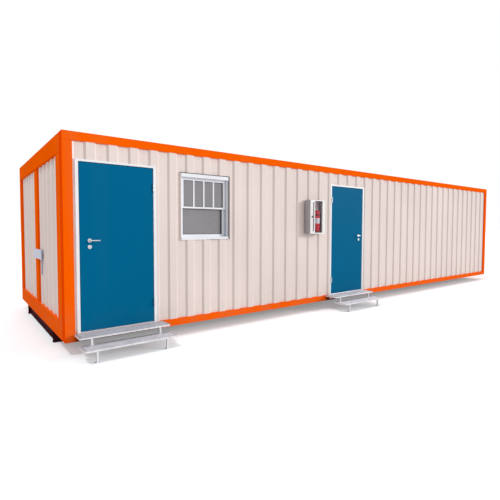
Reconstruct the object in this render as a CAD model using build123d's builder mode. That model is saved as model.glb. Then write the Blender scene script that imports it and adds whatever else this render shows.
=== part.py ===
from build123d import *
import math
import os

os.makedirs("parts", exist_ok=True)

# Portable site cabin. X runs along the long front wall, Y from the front wall to the back wall.
# The origin is on the ground, in the middle of what the cabin and its steps cover. Millimetres.

# Cabin box
LENGTH = 12190
WIDTH = 3660
SKID_HEIGHT = 160
OVER_DOOR_PANEL = 219

# Steel frame
SIDE_WALL = 140
END_WALL = 120
SIDE_TOP_RAIL = 108
SIDE_BOTTOM_RAIL = 100
END_TOP_RAIL = 235
END_BOTTOM_RAIL = 220
MID_POST_WIDTH = 220
MID_POST_SET = 12
COVER_WIDTH = 240
COVER_SET = 4
TUBE_WALL = 5

# Profiled sheet
SHEET_PITCH = 288
SHEET_RIB = 132
SHEET_SLOPE = 26
SHEET_DEPTH = 22
SHEET_SET = 6
END_SHEET_SET = 30
SHEET_PHASE = 273
ROOF_SET = 8

# Skids, bearers and floor
SKID_FLANGE = 100
SKID_WEB = 8
SKID_FLANGE_THICKNESS = 10
SKID_INSET = 740
BEARER_HEIGHT = 134
BEARER_FLANGE = 60
BEARER_WEB = 6
BEARER_SET = 15
BEARER_SPACING = 3000
JOIST_SPACING = 610
JOIST_FLANGE = 45
JOIST_WEB = 4
DECK_THICKNESS = 28

# Doors
DOOR_1_LEFT = 195
DOOR_2_LEFT = 4974
LEAF_WIDTH = 985
LEAF_HEIGHT = 2125
LEAF_THICKNESS = 45
LEAF_SET = 10
LEAF_GAP = 8
LEAF_CHAMFER = 2
FRAME_JAMB = 38
FRAME_HEAD = 26
FRAME_SET = 2
SILL_HEIGHT = 6
STOP_COVER = 15
STOP_GAP = 5

# Door hinges
KNUCKLE_RADIUS = 8
KNUCKLE_LENGTH = 50
KNUCKLE_STANDOFF = 1
HINGE_PIN_RADIUS = 4
HINGE_PLAY = 0.3
HINGE_INSET = 272
FLAP_THICKNESS = 3
FLAP_DEPTH = 30

# Lever handles
LEVER_BACKSET = 120
LEVER_HEIGHT = 1160
LEVER_LENGTH = 118
LEVER_RADIUS = 8.5
LEVER_STANDOFF = 52
LEVER_BEND = 16
LEVER_PLAY = 0.5
ROSE_RADIUS = 26
ROSE_THICKNESS = 8
ROSE_CHAMFER = 2
KEY_ROSE_DROP = 80
KEY_BARREL_RADIUS = 8.5
KEY_BARREL_DEPTH = 3

# Window
DOOR_1_TO_WINDOW = 389
WINDOW_WIDTH = 876
WINDOW_HEIGHT = 990
WINDOW_BOTTOM = 1243
WINDOW_FACE = 40
WINDOW_HEAD = 62
WINDOW_SET = 40
BAND_SET = 14
BAND_SIDE_GAP = 14
BAND_HEAD_GAP = 10
SASH_SET = 72
SASH_THICKNESS = 28
SASH_STILE = 44
SASH_RAIL = 40
MEETING_RAIL = 26
SASH_STEP = 3
GLASS_THICKNESS = 5

# Extinguisher cabinet
CABINET_TO_DOOR_2 = 330
CABINET_WIDTH = 382
CABINET_HEIGHT = 620
CABINET_BOTTOM = 1316
CABINET_REACH = 140
CABINET_SHEET = 3
CABINET_DOOR_THICKNESS = 20
CABINET_DOOR_GAP = 5
CABINET_STILE = 110
CABINET_RAIL = 18
CABINET_HINGE_STILE = 68
SLOT_LEFT = 52
SLOT_WIDTH = 36
SLOT_MARGIN = 44
PANE_THICKNESS = 4
PANE_SET = 2
KNOB_LEFT = 36
KNOB_RADIUS = 12
KNOB_NECK_RADIUS = 6
KNOB_REACH = 22
KNOB_HEAD = 11
KNOB_ROUNDING = 5
CABINET_KNUCKLE_RADIUS = 5
CABINET_KNUCKLE_LENGTH = 30
CABINET_PIN_RADIUS = 2.5
CABINET_HINGE_INSET = 90
CABINET_FLAP = 3
CABINET_FLAP_DEPTH = 18

# Extinguisher
BOTTLE_RADIUS = 56
BOTTLE_HEIGHT = 430
BOTTLE_LEFT = 246
BOTTLE_SHOULDER = 45
SHOULDER_RADIUS = 45
SHOULDER_RISE = 28
BOTTLE_FOOT = 12
NECK_RADIUS = 14
VALVE_RADIUS = 17
VALVE_HEIGHT = 30
GRIP_LENGTH = 75
GRIP_WIDTH = 16
GRIP_THICKNESS = 7
GRIP_GAP = 12

# Door steps
STEP_LENGTH = 1200
TREAD_DEPTH = 248
TREAD_OVERLAP = 28
TREAD_DROP = 100
TREAD_LIP = 22
TREAD_PLATE = 5
TREAD_CORNER = 16
STEP_GAP_TO_LEAF = 14
STEP_POST = 25
STEP_POST_SPACING = 905
STEP_1_SHIFT = 20
STEP_2_SHIFT = -60

# Lock plate across the left end's middle post
LOCK_PLATE_START = 1490
LOCK_PLATE_LENGTH = 697
LOCK_PLATE_BOTTOM = 930
LOCK_PLATE_HEIGHT = 150
LOCK_BAR_WIDTH = 26
LOCK_BAR_LENGTH = 373

# Places worked out from the sizes
step_reach = 2 * TREAD_DEPTH - TREAD_OVERLAP
left = -LENGTH / 2
right = LENGTH / 2
front = (step_reach - WIDTH) / 2
back = front + WIDTH
base = SKID_HEIGHT
floor = base + SIDE_BOTTOM_RAIL
leaf_bottom = floor + SILL_HEIGHT + LEAF_GAP
leaf_top = leaf_bottom + LEAF_HEIGHT
frame_top = leaf_top + LEAF_GAP + FRAME_HEAD
ceiling = frame_top + OVER_DOOR_PANEL
top = ceiling + SIDE_TOP_RAIL


def save(piece, name):
    """Label a finished piece and write it."""
    piece.part.label = name
    export_step(piece.part, f"parts/{name}.step")


def behind_front(depth):
    """Upright plane at a depth behind the front face: x to the right, y up, normal outwards."""
    return Plane.XZ.offset(-(front + depth))


def block(x_span, y_span, z_span, mode=Mode.ADD):
    """A rectangular block between three pairs of limits."""
    centre = [(low + high) / 2 for low, high in (x_span, y_span, z_span)]
    size = [high - low for low, high in (x_span, y_span, z_span)]
    with Locations(tuple(centre)):
        Box(*size, mode=mode)


def rectangle(u_span, v_span, mode=Mode.ADD):
    """A rectangle between two pairs of limits in the current sketch."""
    with Locations(((u_span[0] + u_span[1]) / 2, (v_span[0] + v_span[1]) / 2)):
        Rectangle(u_span[1] - u_span[0], v_span[1] - v_span[0], mode=mode)


def upright(radius, height, mode=Mode.ADD):
    """A round bar standing on the current location."""
    Cylinder(radius, height, align=(Align.CENTER, Align.CENTER, Align.MIN), mode=mode)


def hollow(u_span, v_span, wall):
    """The section of a rectangular tube in the current sketch."""
    rectangle(u_span, v_span)
    rectangle((u_span[0] + wall, u_span[1] - wall), (v_span[0] + wall, v_span[1] - wall), Mode.SUBTRACT)


def i_section(width, height, web, flange):
    """The section of an I beam in the current sketch, standing on the sketch's x axis."""
    rectangle((-width / 2, width / 2), (0, height))
    for side in (-1, 1):
        inner, outer = side * web / 2, side * width
        rectangle((min(inner, outer), max(inner, outer)), (flange, height - flange), Mode.SUBTRACT)


def c_section(width, height, thickness):
    """The section of a channel in the current sketch, open to the sketch's right."""
    rectangle((0, width), (0, height))
    rectangle((thickness, width), (thickness, height - thickness), Mode.SUBTRACT)


def sheet_section(start, end, crest, thickness, phase):
    """Plan of a wall with a trapezoidal outer sheet and a flat lining, in the current sketch."""
    first = math.floor((start - phase) / SHEET_PITCH) - 1
    last = math.ceil((end - phase) / SHEET_PITCH) + 1
    outline = []
    for rib in range(first, last + 1):
        rise = phase + rib * SHEET_PITCH
        fall = rise + SHEET_RIB
        outline += [
            (rise - SHEET_SLOPE / 2, crest + SHEET_DEPTH),
            (rise + SHEET_SLOPE / 2, crest),
            (fall - SHEET_SLOPE / 2, crest),
            (fall + SHEET_SLOPE / 2, crest + SHEET_DEPTH),
        ]
    Polygon(*outline, (outline[-1][0], thickness), (outline[0][0], thickness), align=None)
    rectangle((start, end), (0, thickness), Mode.INTERSECT)


def side_panel(side, start, end, bottom, up_to):
    """A panel of a long wall, between two places from the left end."""
    face = front if side == "front" else back
    x_dir = (1, 0, 0) if side == "front" else (-1, 0, 0)
    span = (left + start, left + end) if side == "front" else (right - end, right - start)
    phase = left + SHEET_PHASE
    with BuildPart() as panel:
        with BuildSketch(Plane(origin=(0, face, bottom), x_dir=x_dir, z_dir=(0, 0, 1))):
            sheet_section(*span, SHEET_SET, SIDE_WALL, phase)
        extrude(amount=up_to - bottom)
    return panel


# Skids and cross bearers
skid_lines = (front + SKID_INSET, back - SKID_INSET)
with BuildPart() as skids:
    for y in skid_lines:
        with BuildSketch(Plane(origin=(left, y, 0), x_dir=(0, 1, 0), z_dir=(1, 0, 0))):
            i_section(SKID_FLANGE, SKID_HEIGHT, SKID_WEB, SKID_FLANGE_THICKNESS)
        extrude(amount=LENGTH)
save(skids, "skids")

bearer_count = math.ceil(LENGTH / BEARER_SPACING) + 1
bearer_first = left + BEARER_SET + BEARER_FLANGE / 2
bearer_pitch = -2 * bearer_first / (bearer_count - 1)
bearer_length = skid_lines[1] - skid_lines[0] - SKID_FLANGE
with BuildPart() as cross_bearers:
    for place in range(bearer_count):
        start = (bearer_first + place * bearer_pitch, skid_lines[1] - SKID_FLANGE / 2, base - BEARER_HEIGHT)
        with BuildSketch(Plane(origin=start, x_dir=(1, 0, 0), z_dir=(0, -1, 0))):
            i_section(BEARER_FLANGE, BEARER_HEIGHT, BEARER_WEB, BEARER_WEB)
        extrude(amount=bearer_length)
save(cross_bearers, "cross_bearers")

# Bottom rails
front_depth = (front, front + SIDE_WALL)
back_depth = (back - SIDE_WALL, back)
left_depth = (left, left + END_WALL)
right_depth = (right - END_WALL, right)
with BuildPart() as side_bottom_rails:
    for depth in (front_depth, back_depth):
        with BuildSketch(Plane(origin=(left + END_WALL, 0, 0), x_dir=(0, 1, 0), z_dir=(1, 0, 0))):
            hollow(depth, (base, floor), TUBE_WALL)
        extrude(amount=LENGTH - 2 * END_WALL)
save(side_bottom_rails, "side_bottom_rails")

end_sill = base + END_BOTTOM_RAIL
end_head = top - END_TOP_RAIL
with BuildPart() as end_bottom_rails:
    for depth in (left_depth, right_depth):
        with BuildSketch(Plane.XZ.offset(-(front + SIDE_WALL))):
            hollow(depth, (base, end_sill), TUBE_WALL)
        extrude(amount=-(WIDTH - 2 * SIDE_WALL))
save(end_bottom_rails, "end_bottom_rails")

# Top rails: the long ones run over the corner posts
with BuildPart() as side_top_rails:
    for depth in (front_depth, back_depth):
        with BuildSketch(Plane(origin=(left, 0, 0), x_dir=(0, 1, 0), z_dir=(1, 0, 0))):
            hollow(depth, (ceiling, top), TUBE_WALL)
        extrude(amount=LENGTH)
        for cap_x in ((left, left + TUBE_WALL), (right - TUBE_WALL, right)):
            block(cap_x, depth, (ceiling, top))
save(side_top_rails, "side_top_rails")

with BuildPart() as end_top_rails:
    for depth in (left_depth, right_depth):
        with BuildSketch(Plane.XZ.offset(-(front + SIDE_WALL))):
            hollow(depth, (end_head, top), TUBE_WALL)
        extrude(amount=-(WIDTH - 2 * SIDE_WALL))
save(end_top_rails, "end_top_rails")

# Posts: corner posts, the boxed cover beside each front post, and each end's middle post
with BuildPart() as corner_posts:
    with BuildSketch(Plane.XY.offset(base)):
        for x_depth in (left_depth, right_depth):
            for y_depth in (front_depth, back_depth):
                hollow(x_depth, y_depth, TUBE_WALL)
    extrude(amount=ceiling - base)
save(corner_posts, "corner_posts")

cover_start = SIDE_WALL
cover_end = cover_start + COVER_WIDTH
with BuildPart() as corner_covers:
    with BuildSketch(Plane.XY.offset(end_sill)):
        y_depth = (front + cover_start, front + cover_end)
        hollow((left + COVER_SET, left + END_WALL), y_depth, TUBE_WALL)
        hollow((right - END_WALL, right - COVER_SET), y_depth, TUBE_WALL)
    extrude(amount=end_head - end_sill)
save(corner_covers, "corner_covers")

bay_width = (WIDTH - cover_end - MID_POST_WIDTH - SIDE_WALL) / 2
mid_start = cover_end + bay_width
mid_end = mid_start + MID_POST_WIDTH
with BuildPart() as end_mid_posts:
    with BuildSketch(Plane.XY.offset(end_sill)):
        y_depth = (front + mid_start, front + mid_end)
        hollow((left + MID_POST_SET, left + END_WALL), y_depth, TUBE_WALL)
        hollow((right - END_WALL, right - MID_POST_SET), y_depth, TUBE_WALL)
    extrude(amount=end_head - end_sill)
save(end_mid_posts, "end_mid_posts")

# Floor and roof
with BuildPart() as floor_deck:
    inside_x = (left + END_WALL, right - END_WALL)
    inside_y = (front + SIDE_WALL, back - SIDE_WALL)
    block(inside_x, inside_y, (floor - DECK_THICKNESS, floor))
save(floor_deck, "floor_deck")

joist_count = math.floor((LENGTH - 2 * END_WALL - JOIST_FLANGE) / JOIST_SPACING) + 1
joist_run = (joist_count - 1) * JOIST_SPACING + JOIST_FLANGE
joist_height = SIDE_BOTTOM_RAIL - DECK_THICKNESS
with BuildPart() as floor_joists:
    for place in range(joist_count):
        start = (-joist_run / 2 + place * JOIST_SPACING, inside_y[1], base)
        with BuildSketch(Plane(origin=start, x_dir=(1, 0, 0), z_dir=(0, -1, 0))):
            c_section(JOIST_FLANGE, joist_height, JOIST_WEB)
        extrude(amount=inside_y[1] - inside_y[0])
save(floor_joists, "floor_joists")

with BuildPart() as roof:
    with BuildSketch(Plane(origin=(0, inside_y[0], top), x_dir=(1, 0, 0), z_dir=(0, 1, 0))):
        sheet_section(*inside_x, ROOF_SET, SIDE_TOP_RAIL, left + SHEET_PHASE)
    extrude(amount=inside_y[1] - inside_y[0])
save(roof, "roof")

# End walls: two sheeted bays each
bays = ((cover_end, mid_start), (mid_end, WIDTH - SIDE_WALL))
for side, face, turn in (("left", left, -1), ("right", right, 1)):
    with BuildPart() as end_bays:
        for bay in bays:
            span = sorted(turn * (front + place) for place in bay)
            phase = sum(span) / 2 - SHEET_RIB / 2
            with BuildSketch(Plane(origin=(face, 0, end_sill), x_dir=(0, turn, 0), z_dir=(0, 0, 1))):
                sheet_section(*span, END_SHEET_SET, END_WALL, phase)
            extrude(amount=end_head - end_sill)
    save(end_bays, f"{side}_end_bays")

# Long walls, in panels beside, over and under the openings
frame_border = LEAF_GAP + FRAME_JAMB
door_1_span = (DOOR_1_LEFT - frame_border, DOOR_1_LEFT + LEAF_WIDTH + frame_border)
door_2_span = (DOOR_2_LEFT - frame_border, DOOR_2_LEFT + LEAF_WIDTH + frame_border)
window_left = door_1_span[1] + DOOR_1_TO_WINDOW
window_span = (window_left, window_left + WINDOW_WIDTH)
window_bottom = base + WINDOW_BOTTOM
window_top = window_bottom + WINDOW_HEIGHT
wall_start = END_WALL
wall_end = LENGTH - END_WALL
front_panels = {
    "front_wall_corner_strip": (wall_start, door_1_span[0], floor, ceiling),
    "front_wall_over_door_1": (*door_1_span, frame_top, ceiling),
    "front_wall_door_1_to_window": (door_1_span[1], window_span[0], floor, ceiling),
    "front_wall_under_window": (*window_span, floor, window_bottom),
    "front_wall_over_window": (*window_span, window_top, ceiling),
    "front_wall_window_to_door_2": (window_span[1], door_2_span[0], floor, ceiling),
    "front_wall_over_door_2": (*door_2_span, frame_top, ceiling),
    "front_wall_right_run": (door_2_span[1], wall_end, floor, ceiling),
}
for name, limits in front_panels.items():
    save(side_panel("front", *limits), name)
save(side_panel("back", wall_start, wall_end, floor, ceiling), "back_wall")

# Doors: a rebated steel frame, a leaf on two lift-off hinges, roses and a lever through the leaf
hinge_depth = FRAME_SET - KNUCKLE_STANDOFF - KNUCKLE_RADIUS
lever_z = base + LEVER_HEIGHT + SIDE_BOTTOM_RAIL
key_z = lever_z - KEY_ROSE_DROP
leaf_back = LEAF_SET + LEAF_THICKNESS


def hinge_levels(bottom_z, height, inset):
    """Heights of the middles of the two hinges of a leaf."""
    return (bottom_z + inset, bottom_z + height - inset)


def door(number, leaf_left, hinge_side):
    """One door set. hinge_side is 1 with the hinges on the right edge, -1 on the left."""
    leaf_x = (left + leaf_left, left + leaf_left + LEAF_WIDTH)
    leaf_z = (leaf_bottom, leaf_top)
    gap_x = (leaf_x[0] - LEAF_GAP, leaf_x[1] + LEAF_GAP)
    gap_z = (leaf_bottom - LEAF_GAP, leaf_top + LEAF_GAP)
    frame_x = (gap_x[0] - FRAME_JAMB, gap_x[1] + FRAME_JAMB)
    clear_x = (leaf_x[0] + STOP_COVER, leaf_x[1] - STOP_COVER)
    clear_z = (leaf_bottom + STOP_COVER, leaf_top - STOP_COVER)
    hinge_edge = leaf_x[1] if hinge_side > 0 else leaf_x[0]
    latch_edge = leaf_x[0] if hinge_side > 0 else leaf_x[1]
    axis_x = hinge_edge + hinge_side * LEAF_GAP / 2
    lever_x = latch_edge + hinge_side * LEVER_BACKSET
    axis_y = front + hinge_depth
    levels = hinge_levels(leaf_bottom, LEAF_HEIGHT, HINGE_INSET)

    with BuildPart() as frame:
        with BuildSketch(behind_front(FRAME_SET)):
            rectangle(frame_x, (floor, frame_top))
            rectangle(gap_x, gap_z, Mode.SUBTRACT)
        extrude(amount=FRAME_SET - leaf_back - STOP_GAP)
        with BuildSketch(behind_front(leaf_back + STOP_GAP)):
            rectangle(frame_x, (floor, frame_top))
            rectangle(clear_x, clear_z, Mode.SUBTRACT)
        extrude(amount=leaf_back + STOP_GAP - SIDE_WALL)
        for z in levels:
            jamb = hinge_edge + hinge_side * LEAF_GAP
            flap_x = sorted((jamb, jamb - hinge_side * FLAP_THICKNESS))
            block(flap_x, (axis_y, axis_y + FLAP_DEPTH), (z - KNUCKLE_LENGTH, z - HINGE_PLAY))
            with Locations((axis_x, axis_y, z - KNUCKLE_LENGTH)):
                upright(KNUCKLE_RADIUS, KNUCKLE_LENGTH - HINGE_PLAY)
                upright(HINGE_PIN_RADIUS, 2 * KNUCKLE_LENGTH)
    save(frame, f"door_{number}_frame")

    with BuildPart() as leaf:
        with BuildSketch(behind_front(LEAF_SET)):
            rectangle(leaf_x, leaf_z)
        extrude(amount=-LEAF_THICKNESS)
        chamfer(leaf.faces().sort_by(Axis.Y)[0].edges(), LEAF_CHAMFER)
        for z in levels:
            flap_x = sorted((hinge_edge, hinge_edge + hinge_side * FLAP_THICKNESS))
            block(flap_x, (axis_y, axis_y + FLAP_DEPTH), (z, z + KNUCKLE_LENGTH))
            with Locations((axis_x, axis_y, z)):
                upright(KNUCKLE_RADIUS, KNUCKLE_LENGTH)
                upright(HINGE_PIN_RADIUS + HINGE_PLAY, KNUCKLE_LENGTH, Mode.SUBTRACT)
        with BuildSketch(behind_front(LEAF_SET)):
            with Locations((lever_x, lever_z)):
                Circle(LEVER_RADIUS + LEVER_PLAY)
        extrude(amount=-LEAF_THICKNESS, mode=Mode.SUBTRACT)
    save(leaf, f"door_{number}_leaf")

    with BuildPart() as roses:
        for face, outward in ((LEAF_SET, 1), (leaf_back, -1)):
            with BuildSketch(behind_front(face)):
                with Locations((lever_x, lever_z), (lever_x, key_z)):
                    Circle(ROSE_RADIUS)
            extrude(amount=outward * ROSE_THICKNESS)
            outer_faces = roses.faces().group_by(Axis.Y)[0 if outward > 0 else -1]
            chamfer(outer_faces.edges(), ROSE_CHAMFER)
            with BuildSketch(behind_front(face - outward * ROSE_THICKNESS)):
                with Locations((lever_x, key_z)):
                    Circle(KEY_BARREL_RADIUS)
            extrude(amount=-outward * KEY_BARREL_DEPTH, mode=Mode.SUBTRACT)
            with BuildSketch(behind_front(face)):
                with Locations((lever_x, lever_z)):
                    Circle(LEVER_RADIUS + LEVER_PLAY)
            extrude(amount=outward * ROSE_THICKNESS, mode=Mode.SUBTRACT)
    save(roses, f"door_{number}_roses")

    outside = front + LEAF_SET - LEVER_STANDOFF
    inside = front + leaf_back + LEVER_STANDOFF
    tip = lever_x + hinge_side * LEVER_LENGTH
    with BuildPart() as lever:
        with BuildLine(Plane.XY.offset(lever_z)) as route:
            points = ((tip, outside), (lever_x, outside), (lever_x, inside), (tip, inside))
            FilletPolyline(*points, radius=LEVER_BEND)
        with BuildSketch(Plane(origin=route.line @ 0, z_dir=route.line % 0)):
            Circle(LEVER_RADIUS)
        sweep()
        ends = lever.faces().filter_by(Axis.X).edges()
        fillet(ends, LEVER_RADIUS / 2)
    save(lever, f"door_{number}_lever")


door(1, DOOR_1_LEFT, 1)
door(2, DOOR_2_LEFT, -1)

# Window: a deep frame set back in the wall, with bands across its head and sill, an upper sash
# towards the outside and a lower sash behind it
window_x = (left + window_span[0], left + window_span[1])
opening_x = (window_x[0] + WINDOW_FACE, window_x[1] - WINDOW_FACE)
opening_z = (window_bottom + WINDOW_FACE, window_top - WINDOW_HEAD)
band_x = (window_x[0] + BAND_SIDE_GAP, window_x[1] - BAND_SIDE_GAP)
band_y = (front + BAND_SET, front + WINDOW_SET)
with BuildPart() as window_frame:
    with BuildSketch(behind_front(WINDOW_SET)):
        rectangle(window_x, (window_bottom, window_top))
        rectangle(opening_x, opening_z, Mode.SUBTRACT)
    extrude(amount=WINDOW_SET - SIDE_WALL)
    block(band_x, band_y, (window_bottom, opening_z[0]))
    block(band_x, band_y, (opening_z[1], window_top - BAND_HEAD_GAP))
save(window_frame, "window_frame")

meeting_z = (opening_z[0] + opening_z[1]) / 2
upper_z = (meeting_z - MEETING_RAIL / 2, opening_z[1])
lower_z = (opening_z[0], meeting_z + MEETING_RAIL / 2)
lower_sash_set = SASH_SET + SASH_THICKNESS + SASH_STEP
upper_glass_z = (upper_z[0] + MEETING_RAIL, upper_z[1] - SASH_RAIL)
lower_glass_z = (lower_z[0] + SASH_RAIL, lower_z[1] - MEETING_RAIL)
sashes = ((SASH_SET, upper_z, upper_glass_z), (lower_sash_set, lower_z, lower_glass_z))
glass_x = (opening_x[0] + SASH_STILE, opening_x[1] - SASH_STILE)
with BuildPart() as window_sashes:
    for sash_set, sash_z, glass_z in sashes:
        with BuildSketch(behind_front(sash_set)):
            rectangle(opening_x, sash_z)
            rectangle(glass_x, glass_z, Mode.SUBTRACT)
        extrude(amount=-SASH_THICKNESS)
save(window_sashes, "window_sashes")

glass_inset = (SASH_THICKNESS - GLASS_THICKNESS) / 2
with BuildPart() as window_glass:
    for sash_set, _, glass_z in sashes:
        with BuildSketch(behind_front(sash_set + glass_inset)):
            rectangle(glass_x, glass_z)
        extrude(amount=-GLASS_THICKNESS)
save(window_glass, "window_glass")

# Extinguisher cabinet on the front wall
cabinet_right = left + door_2_span[0] - CABINET_TO_DOOR_2
cabinet_x = (cabinet_right - CABINET_WIDTH, cabinet_right)
cabinet_z = (base + CABINET_BOTTOM, base + CABINET_BOTTOM + CABINET_HEIGHT)
door_back = CABINET_DOOR_THICKNESS - CABINET_REACH
box_front = door_back + CABINET_DOOR_GAP
cabinet_axis = (cabinet_x[1] + CABINET_KNUCKLE_RADIUS, front + (door_back + box_front) / 2)
cabinet_levels = hinge_levels(cabinet_z[0], CABINET_HEIGHT, CABINET_HINGE_INSET)
cabinet_flap_x = (cabinet_x[1], cabinet_x[1] + CABINET_FLAP)
with BuildPart() as cabinet_box:
    with BuildSketch(behind_front(box_front)):
        rectangle(cabinet_x, cabinet_z)
    extrude(amount=box_front - SHEET_SET)
    offset(amount=-CABINET_SHEET, openings=cabinet_box.faces().sort_by(Axis.Y)[0])
    for z in cabinet_levels:
        flap_y = (cabinet_axis[1], cabinet_axis[1] + CABINET_FLAP_DEPTH)
        block(cabinet_flap_x, flap_y, (z - CABINET_KNUCKLE_LENGTH, z - HINGE_PLAY))
        with Locations((*cabinet_axis, z - CABINET_KNUCKLE_LENGTH)):
            upright(CABINET_KNUCKLE_RADIUS, CABINET_KNUCKLE_LENGTH - HINGE_PLAY)
            upright(CABINET_PIN_RADIUS, 2 * CABINET_KNUCKLE_LENGTH)
save(cabinet_box, "cabinet_box")

pane_x = (cabinet_x[0] + CABINET_STILE, cabinet_x[1] - CABINET_HINGE_STILE)
pane_z = (cabinet_z[0] + CABINET_RAIL, cabinet_z[1] - CABINET_RAIL)
slot_x = (cabinet_x[0] + SLOT_LEFT, cabinet_x[0] + SLOT_LEFT + SLOT_WIDTH)
slot_z = (cabinet_z[0] + SLOT_MARGIN, cabinet_z[1] - SLOT_MARGIN)
knob_x = cabinet_x[0] + KNOB_LEFT
knob_z = (cabinet_z[0] + cabinet_z[1]) / 2
with BuildPart() as cabinet_door:
    with BuildSketch(behind_front(-CABINET_REACH)):
        rectangle(cabinet_x, cabinet_z)
        rectangle(pane_x, pane_z, Mode.SUBTRACT)
        rectangle(slot_x, slot_z, Mode.SUBTRACT)
    extrude(amount=-CABINET_DOOR_THICKNESS)
    for z in cabinet_levels:
        flap_y = (cabinet_axis[1] - CABINET_FLAP_DEPTH, cabinet_axis[1])
        block(cabinet_flap_x, flap_y, (z, z + CABINET_KNUCKLE_LENGTH))
        with Locations((*cabinet_axis, z)):
            upright(CABINET_KNUCKLE_RADIUS, CABINET_KNUCKLE_LENGTH)
            upright(CABINET_PIN_RADIUS + HINGE_PLAY, CABINET_KNUCKLE_LENGTH, Mode.SUBTRACT)
save(cabinet_door, "cabinet_door")

with BuildPart() as cabinet_panes:
    with BuildSketch(behind_front(PANE_SET - CABINET_REACH)):
        rectangle(pane_x, pane_z)
        rectangle(slot_x, slot_z)
    extrude(amount=-PANE_THICKNESS)
save(cabinet_panes, "cabinet_panes")

with BuildPart() as cabinet_knob:
    with BuildSketch(behind_front(-CABINET_REACH)):
        with Locations((knob_x, knob_z)):
            Circle(KNOB_NECK_RADIUS)
    extrude(amount=KNOB_REACH)
    with BuildSketch(behind_front(KNOB_HEAD - CABINET_REACH - KNOB_REACH)):
        with Locations((knob_x, knob_z)):
            Circle(KNOB_RADIUS)
    extrude(amount=KNOB_HEAD)
    fillet(cabinet_knob.faces().sort_by(Axis.Y)[0].edges(), KNOB_ROUNDING)
save(cabinet_knob, "cabinet_knob")

# Extinguisher standing on the cabinet's floor
bottle_x = cabinet_x[0] + BOTTLE_LEFT
bottle_y = front + (box_front + SHEET_SET - CABINET_SHEET) / 2
bottle_z = cabinet_z[0] + CABINET_SHEET
shoulder_z = BOTTLE_HEIGHT - BOTTLE_SHOULDER
with BuildPart() as extinguisher_bottle:
    with BuildSketch(Plane.XZ):
        with BuildLine():
            Polyline(
                (0, BOTTLE_HEIGHT),
                (0, 0),
                (BOTTLE_RADIUS - BOTTLE_FOOT, 0),
                (BOTTLE_RADIUS, BOTTLE_FOOT),
                (BOTTLE_RADIUS, shoulder_z),
            )
            ThreePointArc(
                (BOTTLE_RADIUS, shoulder_z),
                (SHOULDER_RADIUS, shoulder_z + SHOULDER_RISE),
                (NECK_RADIUS, BOTTLE_HEIGHT),
            )
            Line((NECK_RADIUS, BOTTLE_HEIGHT), (0, BOTTLE_HEIGHT))
        make_face()
    revolve(axis=Axis.Z)
extinguisher_bottle.part.position = (bottle_x, bottle_y, bottle_z)
save(extinguisher_bottle, "extinguisher_bottle")

valve_z = bottle_z + BOTTLE_HEIGHT
with BuildPart() as extinguisher_valve:
    with Locations((bottle_x, bottle_y, valve_z)):
        upright(VALVE_RADIUS, VALVE_HEIGHT)
    grip_x = (bottle_x - GRIP_LENGTH, bottle_x)
    grip_y = (bottle_y - GRIP_WIDTH / 2, bottle_y + GRIP_WIDTH / 2)
    for z in (valve_z, valve_z + GRIP_THICKNESS + GRIP_GAP):
        block(grip_x, grip_y, (z, z + GRIP_THICKNESS))
save(extinguisher_valve, "extinguisher_valve")

# Door steps: two folded treads on square posts at each door
tread_tops = (leaf_bottom - STEP_GAP_TO_LEAF, leaf_bottom - STEP_GAP_TO_LEAF - TREAD_DROP)
tread_backs = (0, TREAD_DEPTH - TREAD_OVERLAP)


def steps(number, leaf_left, shift):
    """The two treads and four posts of one door's steps."""
    centre = left + leaf_left + LEAF_WIDTH / 2 + shift
    hollow_length = STEP_LENGTH - 2 * TREAD_PLATE
    hollow_depth = TREAD_DEPTH - 2 * TREAD_PLATE
    with BuildPart() as treads:
        for tread_top, tread_back in zip(tread_tops, tread_backs):
            middle = (centre, front - tread_back - TREAD_DEPTH / 2)
            with BuildSketch(Plane.XY.offset(tread_top)):
                with Locations(middle):
                    RectangleRounded(STEP_LENGTH, TREAD_DEPTH, TREAD_CORNER)
            extrude(amount=-TREAD_LIP)
            with BuildSketch(Plane.XY.offset(tread_top - TREAD_PLATE)):
                with Locations(middle):
                    RectangleRounded(hollow_length, hollow_depth, TREAD_CORNER - TREAD_PLATE)
            extrude(amount=TREAD_PLATE - TREAD_LIP, mode=Mode.SUBTRACT)
    save(treads, f"step_{number}_treads")

    with BuildPart() as posts:
        for tread_top, tread_back, foot in zip(tread_tops, tread_backs, (tread_tops[1], 0)):
            post_y = front - tread_back - TREAD_DEPTH + TREAD_PLATE
            for x in (centre - STEP_POST_SPACING / 2, centre + STEP_POST_SPACING / 2):
                post_x = (x - STEP_POST / 2, x + STEP_POST / 2)
                block(post_x, (post_y, post_y + STEP_POST), (foot, tread_top - TREAD_PLATE))
    save(posts, f"step_{number}_posts")


steps(1, DOOR_1_LEFT, STEP_1_SHIFT)
steps(2, DOOR_2_LEFT, STEP_2_SHIFT)

# Lock plate and upright bar on the left end's middle post
with BuildPart() as lock_plate:
    plate_x = (left, left + MID_POST_SET)
    plate_y = (front + LOCK_PLATE_START, front + LOCK_PLATE_START + LOCK_PLATE_LENGTH)
    plate_z = (base + LOCK_PLATE_BOTTOM, base + LOCK_PLATE_BOTTOM + LOCK_PLATE_HEIGHT)
    block(plate_x, plate_y, plate_z)
    bar_y = (plate_y[0] - LOCK_BAR_WIDTH, plate_y[0])
    block(plate_x, bar_y, (plate_z[1] - LOCK_BAR_LENGTH, plate_z[1]))
save(lock_plate, "lock_plate")
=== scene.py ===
import math
from contextlib import contextmanager
from types import SimpleNamespace
from typing import NamedTuple

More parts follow.
